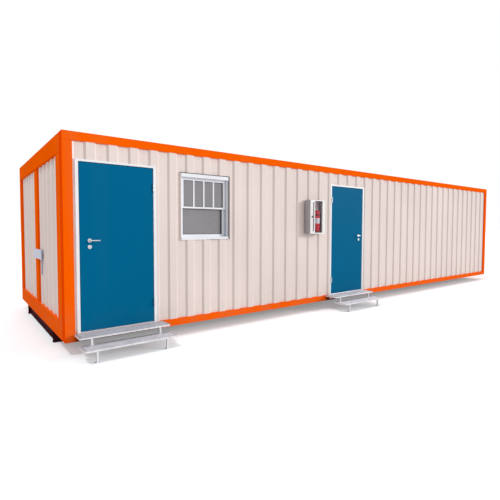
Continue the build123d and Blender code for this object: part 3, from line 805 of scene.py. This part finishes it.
def studio_floor(colours, light):
    """A pale floor that the camera sees near white, with the object's shadow."""
    clear_selection()
    bpy.ops.mesh.primitive_plane_add(size=light.floor_width, location=(0, 0, 0))
    ground = bpy.context.object
    ground.name = "studio_floor"
    finish = Finish("studio_floor")
    seen = finish.add("LightPath", output="Is Camera Ray")
    shown = finish.add("BsdfDiffuse", [rgba(colours.ground)])
    bounced = finish.add("BsdfDiffuse", [rgba(colours.bounce)])
    glow = finish.add("Emission", {"Color": rgba(WHITE), "Strength": light.floor_glow})
    lit = finish.add("AddShader", [shown, glow])
    ground.data.materials.append(finish.end(finish.add("MixShader", [seen, bounced, lit])))


def surroundings(colours, light):
    """A soft dome of light, white for the camera, in reflections and through glass."""
    shading = Shading(bpy.data.worlds.new("studio"), "OutputWorld")
    camera, glossy, through = [shading.add("LightPath", output=f"Is {kind} Ray")
                               for kind in ("Camera", "Glossy", "Transmission")]
    dome = shading.add("Background", {"Color": rgba(colours.dome), "Strength": light.dome})
    white = shading.add("Background", {"Color": rgba(WHITE), "Strength": 1.0})
    plain = camera.larger(glossy.larger(through))
    return shading.end(shading.add("MixShader", [plain, dome, white]))


class CABIN_OT_stage(bpy.types.Operator):
    """Studio floor, white surroundings, soft lamps and the camera"""

    bl_idname = "cabin.stage"
    bl_label = "Studio"

    def execute(self, context):
        colours, light, _ = settings()
        scene = context.scene
        scene.view_settings.view_transform = "Standard"
        studio_floor(colours, light)
        scene.world = surroundings(colours, light)

        for name in ("side", "top", "back"):
            height, turn, spread = getattr(light, f"{name}_aim")
            bpy.ops.object.light_add(type="SUN", location=(6, -10, 9))
            lamp = context.object
            lamp.name = f"{name}_lamp"
            lamp.data.energy = getattr(light, name)
            lamp.data.angle = spread
            lamp.rotation_euler = (math.pi / 2 - height, 0, turn)

        bpy.ops.object.camera_add(location=light.eye)
        camera = context.object
        camera.name = "camera"
        camera.rotation_euler = (math.pi / 2 - light.dip, 0, -light.turn)
        camera.data.lens = light.lens
        camera.data.sensor_width = 36
        camera.data.shift_x, camera.data.shift_y = light.shift
        camera.data.clip_end = 500
        scene.camera = camera
        return {"FINISHED"}


class CABIN_OT_steel_frame(bpy.types.Operator):
    """Paint on the orange frame, and primer on the skids and bearers below it"""

    bl_idname = "cabin.steel_frame"
    bl_label = "Steel frame"

    def execute(self, context):
        colours, _, _ = settings()
        orange = frame_paint(colours.frame, colours.seam, colours.lining)
        dress(orange, "frame_orange", "side_bottom_rails", "end_bottom_rails", "side_top_rails",
              "end_top_rails", "corner_posts", "corner_covers", "end_mid_posts")
        primer = painted_steel("skid_primer", colours.skid, 0.6, PRIMER_WEATHER, 0.02)
        dress(primer, "skid_maroon", "skids", "cross_bearers", "floor_joists")
        return {"FINISHED"}


def front_screws(low, high, valleys):
    """Places of the front wall's screws, above and below each opening."""
    ends = span("back_wall")[0]
    window = span("window_frame")
    doors = [span("door_1_frame"), span("door_2_frame")]
    for x in valleys:
        at_door = [door for door in doors if door[0][0] < x < door[0][1]]
        levels = [high]
        if not at_door:
            levels.append(low)
        if window[0][0] < x < window[0][1]:
            levels += [window[2][0] - SCREW_EDGE, window[2][1] + SCREW_EDGE]
        levels += [door[2][1] + SCREW_EDGE for door in at_door]
        if ends[0] + SCREW_EDGE / 2 < x < ends[1] - SCREW_EDGE / 2:
            yield from ((x, 0, z) for z in levels)


def screw_rows():
    """Name, first place, direction and offsets of the screws in the valleys of each sheet."""
    wall, back, roof = span("front_wall_right_run"), span("back_wall"), span("roof")
    left, right = span("left_end_bays"), span("right_end_bays")
    low, high = wall[2][0] + SCREW_EDGE, wall[2][1] - SCREW_EDGE
    pitches = round(extent(back[0]) / SHEET_PITCH)
    valleys = [FIRST_VALLEY + k * SHEET_PITCH for k in range(-1, pitches + 1)]

    yield ("front_wall_screws", (0, wall[1][0] + SHEET_DEPTH, 0), "-Y",
           list(front_screws(low, high, valleys[1:])))
    yield ("back_wall_screws", (0, back[1][1] - SHEET_DEPTH, 0), "Y",
           [(x + BACK_SHIFT, 0, z) for x in valleys[:-1] for z in (low, high)])
    rows = (roof[1][0] + ROOF_SCREW_EDGE, middle(roof[1]), roof[1][1] - ROOF_SCREW_EDGE)
    yield ("roof_screws", (0, 0, roof[2][1] - SHEET_DEPTH), "Z",
           [(x, y, 0) for x in valleys[:-1] for y in rows])
    bay_places = [(0, start + k * SHEET_PITCH, z) for start in END_VALLEYS for k in range(VALLEYS_IN_A_BAY)
                  for z in (left[2][0] + SCREW_EDGE, left[2][1] - SCREW_EDGE)]
    yield "left_end_screws", (left[0][0] + SHEET_DEPTH, 0, 0), "-X", bay_places
    yield "right_end_screws", (right[0][1] - SHEET_DEPTH, 0, 0), "X", bay_places


def room_trims(sizes):
    """Skirting boards and ceiling battens round the room, with the skirting left out at the doors."""
    (left, right), (front, back), (floor, ceiling) = inner_room()
    thick, batten = sizes.board, sizes.batten
    low, high = (floor, floor + sizes.skirting), (ceiling - batten, ceiling)
    before, behind = (front, front + thick), (back - thick, back)
    first_door, second_door = span("door_1_frame")[0], span("door_2_frame")[0]
    boards = [((first_door[1], second_door[0]), before, low), ((second_door[1], right), before, low)]
    for z_span in (low, high):
        boards.append(((left, right), behind, z_span))
        for x_span in ((left, left + thick), (right - thick, right)):
            boards.append((x_span, (before[1], behind[0]), z_span))
    boards.append(((left, right), before, high))
    for x in (left, right - batten):
        for y in (front, back - batten):
            boards.append(((x, x + batten), (y, y + batten), (low[1], high[0])))
    return joined("room_trims", [bar("trim_board", *spans, TRIM_BEVEL) for spans in boards])


class CABIN_OT_walls(bpy.types.Operator):
    """Coated sheet on the walls and the roof with its screws, the room's trims and the floor covering"""

    bl_idname = "cabin.walls"
    bl_label = "Walls, roof and floor"

    def execute(self, context):
        colours, _, sizes = settings()
        front = [name for name in nodes if name.startswith("front_wall")]
        walls = {
            "front": (front, "Y", 1),
            "back": (["back_wall"], "Y", -1),
            "left": (["left_end_bays"], "X", 1),
            "right": (["right_end_bays"], "X", -1),
            "roof": (["roof"], "Z", -1),
        }
        for side, (names, axis, toward) in walls.items():
            low, high = span(names[-1])["XYZ".index(axis)]
            inner = high - LINING if toward > 0 else low + LINING
            dress(wall_sheet(side, colours, inner, axis, toward), "sheet_cream", *names)
        # The corner strip's paler coat is painted light on its shaded groove
        dress(coated("corner_strip", colours.strip, 0.5), "sheet_cream", "front_wall_corner_strip")
        dress(floor_covering("floor_covering", colours.deck), "deck_grey", "floor_deck")
        fit(room_trims(sizes), coated("room_trims", colours.lining_trim, 0.5))

        coated_screw = coated("coated_screws", colours.sheet, 0.4)
        profile = [(sizes.screw_radius, 0), (sizes.screw_radius, 0.0012), (0.0055, 0.002), (0.0052, 0.0058),
                   (0.0036, 0.0066)]
        for name, place, direction, offsets in screw_rows():
            screws = repeated(turned(name, place, direction, profile, 8), offsets)
            fit(screws, coated_screw)
        return {"FINISHED"}


def door_places(number):
    """The places on a door that its fittings share."""
    leaf, outer = span(f"door_{number}_leaf"), span(f"door_{number}_frame")[0]
    lever, roses = span(f"door_{number}_lever"), span(f"door_{number}_roses")
    inner = (outer[0] + DOOR_JAMB, outer[1] - DOOR_JAMB)
    leaf_x = (inner[0] + LEAF_GAP, inner[1] - LEAF_GAP)
    latch_left = abs(lever[0][0] - leaf_x[0]) < abs(lever[0][1] - leaf_x[1])
    front = roses[1][0] + ROSE_THICKNESS
    lock_below_lever = 0.03
    if latch_left:
        latch_x, key_x, hinge_x = leaf_x[0], lever[0][0] + LEVER_HUB, leaf[0][1] - KNUCKLE_RADIUS
    else:
        latch_x, key_x, hinge_x = leaf_x[1], lever[0][1] - LEVER_HUB, leaf[0][0] + KNUCKLE_RADIUS
    return SimpleNamespace(
        name=f"door_{number}", inner=inner, leaf_x=leaf_x, leaf_z=leaf[2], roses=roses, front=front,
        back=front + LEAF_THICKNESS, lock_z=middle(lever[2]) - lock_below_lever, latch_x=latch_x,
        out=-1 if latch_left else 1, key_x=key_x, hinge=(hinge_x, leaf[1][0] + KNUCKLE_RADIUS),
    )


def door_seal(door, rubber, sizes):
    """Rubber behind the leaf's edge, at both sides and the head."""
    inset, bevel = 0.003, 0.0012
    left, right, top = door.leaf_x[0] + inset, door.leaf_x[1] - inset, door.leaf_z[1] - inset
    y_span = reach(door.back, 0.0006, 0.0048)
    strips = [bar("seal_side", (x, x + sizes.seal), y_span, (door.leaf_z[0] + 0.002, top), bevel)
              for x in (left, right - sizes.seal)]
    strips.append(bar("seal_head", (left, right), y_span, (top - sizes.seal, top), bevel))
    fit(joined(f"{door.name}_seal", strips), rubber)


def door_threshold(door, metal):
    """Ribbed plate on the sill."""
    sill, rib_pitch, rib_count = door.leaf_z[0] - LEAF_GAP, 0.014, 7
    left, right = door.inner
    plate = bar("threshold_plate", (left + 0.002, right - 0.002), (door.front + 0.002, door.back + 0.07),
                (sill, sill + 0.0012), 0.0005)
    rib = bar("threshold_rib", (left + 0.006, right - 0.006), reach(door.front, 0.01, 0.014),
              reach(sill, 0.0008, 0.0026), 0.0006)
    ribs = repeated(rib, [(0, rib_pitch * k, 0) for k in range(rib_count)])
    fit(joined(f"{door.name}_threshold", [plate, ribs]), metal)


def door_lock(door, metal):
    """Lock face and tongue on the leaf's edge, and the strike plate in the frame."""
    depth = (door.front + door.back) / 2
    face_x, tongue_x = [sorted((door.latch_x, door.latch_x + door.out * proud)) for proud in (0.0012, 0.0052)]
    face = bar("lock_face", face_x, around(depth, 0.011), around(door.lock_z, 0.12), 0.0004)
    tongue = bar("latch_tongue", tongue_x, around(depth, 0.006), reach(door.lock_z, 0.012, 0.048), 0.002)
    fit(joined(f"{door.name}_latch", [face, tongue]), metal, door.name)
    strike = ring(f"{door.name}_strike", around(0, 0.011), (0, 0.0012), around(door.lock_z, 0.09),
                  0.006, 0.0003)
    with editing(strike):
        bpy.ops.transform.rotate(value=math.pi / 2, orient_axis="Z", center_override=(0, 0, 0))
        strike_x = door.latch_x + door.out * (LEAF_GAP - 0.0006)
        bpy.ops.transform.translate(value=(strike_x, depth, 0))
    fit(strike, metal)


def door_hinges(door, metal):
    """Sleeves and caps on the knuckles: the upper halves on the leaf, the lower ones on the frame."""
    radius, half, wall = KNUCKLE_RADIUS, KNUCKLE_LENGTH, 0.0005
    cap = [(radius + 0.0007, 0), (radius + 0.0007, 0.0018), (radius - 0.002, 0.0042),
           (radius - 0.0055, 0.0052)]
    upper, lower = [], []
    for z in (door.leaf_z[0] + HINGE_INSET, door.leaf_z[1] - HINGE_INSET):
        upper.append(sleeve("sleeve", (*door.hinge, z + 0.0006), radius + 0.0001, half - 0.0008, wall))
        upper.append(turned("cap", (*door.hinge, z + half + 0.0004), "Z", cap, 28))
        lower.append(sleeve("sleeve", (*door.hinge, z - half + 0.0002), radius + 0.0001, half - 0.0012, wall))
        lower.append(turned("cap", (*door.hinge, z - half - 0.0004), "-Z", cap, 28))
    fit(joined(f"{door.name}_hinge_caps", upper), metal, door.name)
    fit(joined(f"{door.name}_hinge_cups", lower), metal)


def door_keyholes(door, rubber):
    """A dark keyhole in the lower rose on both faces of the leaf."""
    key_x, key_z = around(door.key_x, 0.0011), reach(door.roses[2][0], 0.0205, 0.0305)
    holes = [bar("keyhole", key_x, around(face, 0.0004), key_z, 0.0003) for face in door.roses[1]]
    fit(joined(f"{door.name}_keyholes", holes), rubber, door.name)


class CABIN_OT_doors(bpy.types.Operator):
    """Paint, frames, seals and satin fittings of both doors"""

    bl_idname = "cabin.doors"
    bl_label = "Doors"

    def execute(self, context):
        colours, _, sizes = settings()
        blue = painted_steel("door_blue", colours.door, 0.42, DOOR_WEATHER, 0.015)
        dress(blue, "door_blue", "door_1_leaf", "door_2_leaf")
        dress(coated("door_frame_white", colours.trim, 0.42), "trim_white", "door_1_frame", "door_2_frame")
        dress(brushed_steel("satin_fittings", colours.steel, (0.2, 1, 1)), "satin_steel", "door_1_lever",
              "door_2_lever", "door_1_roses", "door_2_roses")

        rubber = coated("rubber_black", colours.black, 0.6, 0.2)
        metal = brushed_steel("edge_fittings", colours.steel, (1, 1, 0.2))
        for number in (1, 2):
            door = door_places(number)
            door_seal(door, rubber, sizes)
            door_threshold(door, metal)
            door_lock(door, metal)
            door_hinges(door, metal)
            door_keyholes(door, rubber)
        return {"FINISHED"}


class CABIN_OT_window(bpy.types.Operator):
    """Frame, sashes, bars, gaskets, lining, lock and glass of the window"""

    bl_idname = "cabin.window"
    bl_label = "Window"

    def execute(self, context):
        colours, _, sizes = settings()
        glass, sashes, frame_box = span("window_glass"), span("window_sashes"), span("window_frame")
        front, back = sashes[1]
        meeting = middle(sashes[2])
        white = coated("window_white", colours.window, 0.4)
        dress(white, "window_white", "window_sashes")
        shaded_white = coated("window_reveal", colours.window, 0.4, reveal=colours.reveal)
        dress(shaded_white, "window_white", "window_frame")
        film = window_film("window_glass", colours.glass, glass[0][1], meeting,
                           (sizes.upper_shade, sizes.lower_shade))
        dress(film, "window_pane", "window_glass")

        over_rail, under_rail = meeting + MEETING_RAIL / 2, meeting - MEETING_RAIL / 2
        bar_z = (over_rail - 0.001, glass[2][1] + 0.001)
        half_bar = around(0, sizes.window_bar / 2)
        step = extent(glass[0]) / (sizes.window_bars + 1)
        places = [(glass[0][0] + step * (k + 1), 0, 0) for k in range(sizes.window_bars)]
        bar_depths = {
            "window_bars": (front + 0.002, glass[1][0] + 0.001),
            "window_inner_bars": (glass[1][0] + 0.004, front + SASH_THICKNESS - 0.002),
        }
        for name, y_span in bar_depths.items():
            fit(repeated(bar(name, half_bar, y_span, bar_z, 0.003), places), white)

        rubber = coated("glazing_rubber", colours.black, 0.6, 0.2)
        x_span = (glass[0][0] - 0.0005, glass[0][1] + 0.0005)
        gaskets = {
            "window_upper_glazing": ((front, glass[1][0]), (over_rail, glass[2][1])),
            "window_lower_glazing": ((back - SASH_THICKNESS, glass[1][1] - 0.005), (glass[2][0], under_rail)),
        }
        for name, (y, z) in gaskets.items():
            bead = ring(name, x_span, (y[0] + 0.0035, y[1]), (z[0] - 0.0005, z[1] + 0.0005), sizes.gasket,
                        FINE_BEVEL)
            fit(bead, rubber)

        lining_y = (span("front_wall_under_window")[1][0] - 0.003, frame_box[1][0] + BAND_REACH)
        lining = ring("window_lining", frame_box[0], lining_y, frame_box[2], sizes.lining_sheet, 0.0006)
        trim = lining_trim("window_lining", colours.lining_shade, colours.sheet, middle(frame_box[0]),
                           frame_box[2][1] - 0.01)
        fit(lining, trim)

        centre = middle(glass[0])
        body = turned("sash_lock_body", (centre, back - 0.014, over_rail), "Z",
                      [(0.016, 0), (0.016, 0.004), (0.012, 0.007), (0.008, 0.012)], 20)
        arm = bar("sash_lock_arm", reach(centre, -0.03, 0.004), reach(back, -0.018, -0.010),
                  reach(over_rail, 0.006, 0.011), 0.0015)
        fit(joined("sash_lock", [body, arm]), white)
        lift = bar("sash_lift", around(centre, 0.12), reach(back, -0.003, 0.009),
                   reach(sashes[2][0], 0.022, 0.028), 0.002)
        fit(lift, white)
        return {"FINISHED"}


def bottle_fittings(x, y, bottom, black):
    """Boot and strap round the bottle."""
    radius = extent(x) / 2
    centre = (middle(x), middle(y))
    boot = turned("extinguisher_boot", (*centre, bottom), "Z",
                  [(radius - 0.010, 0), (radius - 0.002, 0.003), (radius + 0.0022, 0.012),
                   (radius + 0.0022, 0.036), (radius + 0.0006, 0.040), (radius - 0.004, 0.040)], 40)
    fit(boot, black)
    strap_z = bottom + 0.335
    strap = turned("extinguisher_strap", (*centre, strap_z), "Z",
                   [(radius + 0.0004, 0), (radius + 0.0026, 0.0012), (radius + 0.0026, 0.0208),
                    (radius + 0.0004, 0.022)], 40)
    clip = bar("strap_clip", around(centre[0], 0.014), reach(y[0], -0.0050, 0.003),
               reach(strap_z, 0.003, 0.019), 0.0015)
    fit(joined("extinguisher_strap", [strap, clip]), black)


def valve_fittings(colours, x, y, top, black):
    """Head with its outlet, gauge, handles and pin ring, in place of the plain valve."""
    steel = brushed_steel("valve_steel", colours.steel, (1, 1, 1))
    body = turned("extinguisher_head", (x, y, top - 0.004), "Z",
                  [(0.0165, 0), (0.0180, 0.003), (0.0180, 0.010), (0.0135, 0.012), (0.0135, 0.026),
                   (0.0110, 0.030)], 28)
    outlet = turned("outlet", (x + 0.010, y, top + 0.010), "X",
                    [(0.0075, 0), (0.0075, 0.008), (0.0060, 0.010), (0.0060, 0.026), (0.0080, 0.034)], 20)
    head = joined("extinguisher_head", [body, outlet])
    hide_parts("extinguisher_valve")
    fit(head, brushed_steel("valve_brass", colours.brass, (1, 1, 1)))

    gauge_z, dial_y = top + 0.012, y - 0.0226
    gauge = turned("extinguisher_gauge", (x, y - 0.012, gauge_z), "-Y",
                   [(0.0060, 0), (0.0060, 0.004), (0.0125, 0.0055), (0.0132, 0.0065), (0.0132, 0.0110),
                    (0.0126, 0.0116), (0.0112, 0.0116), (0.0110, 0.0104)], 28)
    fit(gauge, steel)
    dial = turned("extinguisher_dial", (x, dial_y, gauge_z), "-Y",
                  [(0.0106, 0), (0.0106, 0.0006), (0.0100, 0.0009)], 28)
    fit(dial, coated("dial_white", colours.label, 0.4))
    needle = bar("extinguisher_needle", around(x, 0.0006), reach(dial_y, -0.0016, -0.0010),
                 reach(top, 0.010, 0.0205), 0.0002)
    fit(needle, black)

    handles = (
        lever_bar("extinguisher_carry_handle", reach(x, -0.074, 0.004), y, top + 0.024, 0.014, 0.003, 10),
        lever_bar("extinguisher_squeeze_lever", reach(x, -0.070, 0.010), y, top + 0.032, 0.012, 0.003, -14),
        hoop("extinguisher_pin_ring", (x + 0.013, y - 0.016, top + 0.029), 0.009, 0.0009),
    )
    for handle in handles:
        fit(handle, steel)


def cabinet_fittings(panes, box, black):
    """Gaskets round both panes, and the rose under the knob."""
    y_span = reach(panes[1][0], -0.0012, 0.0002)
    main_x = (box[0][0] + CABINET_STILE - 0.001, panes[0][1] + 0.001)
    main_seal = ring("pane_seal", main_x, y_span, (panes[2][0] - 0.001, panes[2][1] + 0.001), 0.004, 0.0005)
    slot_x = (panes[0][0] - 0.001, panes[0][0] + SLOT_WIDTH + 0.001)
    inset = SLOT_MARGIN - (panes[2][0] - box[2][0])
    slot_z = (panes[2][0] + inset - 0.001, panes[2][1] - inset + 0.001)
    slot_seal = ring("slot_seal", slot_x, y_span, slot_z, 0.003, 0.0005)
    fit(joined("cabinet_pane_seals", [main_seal, slot_seal]), black, "cabinet_door")

    knob_x, knob_y, knob_z = span("cabinet_knob")
    rose = turned("cabinet_knob_rose", (middle(knob_x), knob_y[1] + 0.0004, middle(knob_z)), "-Y",
                  [(0.0150, 0), (0.0155, 0.0010), (0.0155, 0.0026), (0.0125, 0.0040)], 32)
    fit(rose, black, "cabinet_door")


class CABIN_OT_extinguisher(bpy.types.Operator):
    """Cabinet with its panes and knob, and the extinguisher in it"""

    bl_idname = "cabin.extinguisher"
    bl_label = "Extinguisher cabinet"

    def execute(self, context):
        colours, _, _ = settings()
        box, panes = span("cabinet_box"), span("cabinet_panes")
        skin, hinge_side = 0.003, 0.05
        hollow = [(low + skin, high - skin) for low, high in box]
        hollow[0] = (hollow[0][0], panes[0][1] + hinge_side)
        # The box's inside is painted paler than its outside, lifting its shade
        grey = coated("cabinet_box_grey", colours.box, 0.45, inside=(hollow, colours.box_inside_paint_and_light))
        black = coated("moulded_black", colours.black, 0.45, 0.5)
        dress(grey, "cabinet_white", "cabinet_box")
        dress(coated("cabinet_white", colours.cabinet, 0.4), "cabinet_white", "cabinet_door")
        dress(clear_pane("cabinet_pane", colours.pane), "window_pane", "cabinet_panes")
        dress(black, "knob_black", "cabinet_knob")

        x, y, (bottom, top) = span("extinguisher_bottle")
        label_band = reach(bottom, 0.185, 0.285)
        red = bottle_paint("bottle_red", colours.bottle, colours.label, *label_band)
        dress(red, "bottle_red", "extinguisher_bottle")
        bottle_fittings(x, y, bottom, black)
        valve_fittings(colours, middle(x), middle(y), top, black)
        cabinet_fittings(panes, box, black)
        return {"FINISHED"}


def grip_ribs(x, y, top, sizes):
    """Ribs along both treads. The lower tread's back, under the upper one, has none."""
    edge, half = 0.025, 0.0035
    spread = TREAD_DEPTH - 2 * edge
    pitch = spread / (sizes.grip_ribs - 1)
    low = top - TREAD_DROP
    for z, back, covered in ((top, y[1], 0.0), (low, y[0] + TREAD_DEPTH, 0.03)):
        rib = bar("grip_rib", (x[0] + 0.03, x[1] - 0.03), around(back - edge, half),
                  (z - 0.0010, z + sizes.grip_rib), 0.0012)
        places = [(0, -pitch * k, 0) for k in range(sizes.grip_ribs) if pitch * k >= covered - 0.001]
        yield repeated(rib, places)


def step_details(number, zinc, post_coat, sizes):
    """Grip ribs, foot plates and brackets of one door's steps."""
    x, y, (_, top) = span(f"step_{number}_treads")
    posts = span(f"step_{number}_posts")
    post_xs = (posts[0][0] + STEP_POST / 2, posts[0][1] - STEP_POST / 2)
    ribs = list(grip_ribs(x, y, top, sizes))
    fit(joined(f"step_{number}_grip_ribs", ribs), zinc)

    foot = sizes.foot_plate
    front_y = posts[1][0] - 0.003
    rear_y = front_y + TREAD_DEPTH - TREAD_OVERLAP
    low = top - TREAD_DROP
    plates = []
    for post_x in post_xs:
        wide = around(post_x, foot / 2)
        plates.append(bar("foot_plate", wide, (front_y, front_y + foot), (0.0, 0.004), 0.0012))
        plates.append(bar("post_base", wide, (rear_y, rear_y + foot * 0.8), (low, low + 0.003), FINE_BEVEL))
    fit(joined(f"step_{number}_foot_plates", plates), post_coat)

    under, back, leg, steel = top - TREAD_PLATE, y[1] - 0.0055, 0.075, 0.004
    brackets = []
    for post_x in post_xs:
        wide = around(post_x, 0.02)
        brackets.append(bar("bracket_wing", wide, (y[1] - leg, back), (under - steel, under), FINE_BEVEL))
        brackets.append(bar("bracket_web", wide, (back - steel, back), (under - leg, under), FINE_BEVEL))
    fit(joined(f"step_{number}_brackets", brackets), zinc)


class CABIN_OT_steps(bpy.types.Operator):
    """Galvanised treads and pale posts of the door steps"""

    bl_idname = "cabin.steps"
    bl_label = "Door steps"

    def execute(self, context):
        colours, _, sizes = settings()
        zinc = galvanised("tread_zinc", colours.zinc, colours.lip, span("step_1_treads")[2][1] - 0.05)
        dress(zinc, "tread_steel", "step_1_treads", "step_2_treads")
        post_coat = coated("step_post_coat", colours.posts, 0.45)
        dress(post_coat, "tread_steel", "step_1_posts", "step_2_posts")
        for number in (1, 2):
            step_details(number, zinc, post_coat, sizes)
        return {"FINISHED"}


class CABIN_OT_lock_plate(bpy.types.Operator):
    """Lock plate with its bar on the left end"""

    bl_idname = "cabin.lock_plate"
    bl_label = "Lock plate"

    def execute(self, context):
        colours, _, _ = settings()
        edge = span("lock_plate")[1][0] + LOCK_BAR
        coat = two_tone("lock_plate_coat", colours.lock_plate, colours.lock_bar, edge)
        dress(coat, "satin_steel", "lock_plate")
        return {"FINISHED"}


class CABIN_PT_sidebar(bpy.types.Panel):
    """Lists the cabin's pieces, colours, lamps and sizes"""

    bl_idname = "CABIN_PT_sidebar"
    bl_label = "Site cabin"
    bl_space_type = "VIEW_3D"
    bl_region_type = "UI"
    bl_category = "Cabin"

    def draw(self, context):
        for each in OPERATORS:
            self.layout.operator(each.bl_idname)
        for group in settings():
            box = self.layout.box()
            for name in group.__annotations__:
                box.prop(group, name)


OPERATORS = (CABIN_OT_stage, CABIN_OT_steel_frame, CABIN_OT_walls, CABIN_OT_doors, CABIN_OT_window,
             CABIN_OT_extinguisher, CABIN_OT_steps, CABIN_OT_lock_plate)
CLASSES = (*GROUPS.values(), *OPERATORS, CABIN_PT_sidebar)


def register():
    for each in CLASSES:
        bpy.utils.register_class(each)
    for name, group in GROUPS.items():
        setattr(bpy.types.Scene, name, PointerProperty(type=group))


def unregister():
    for name in GROUPS:
        delattr(bpy.types.Scene, name)
    for each in reversed(CLASSES):
        bpy.utils.unregister_class(each)


def main():
    register()
    for each in OPERATORS:
        getattr(bpy.ops.cabin, each.bl_idname.removeprefix("cabin."))()


if __name__ == "__main__":
    main()
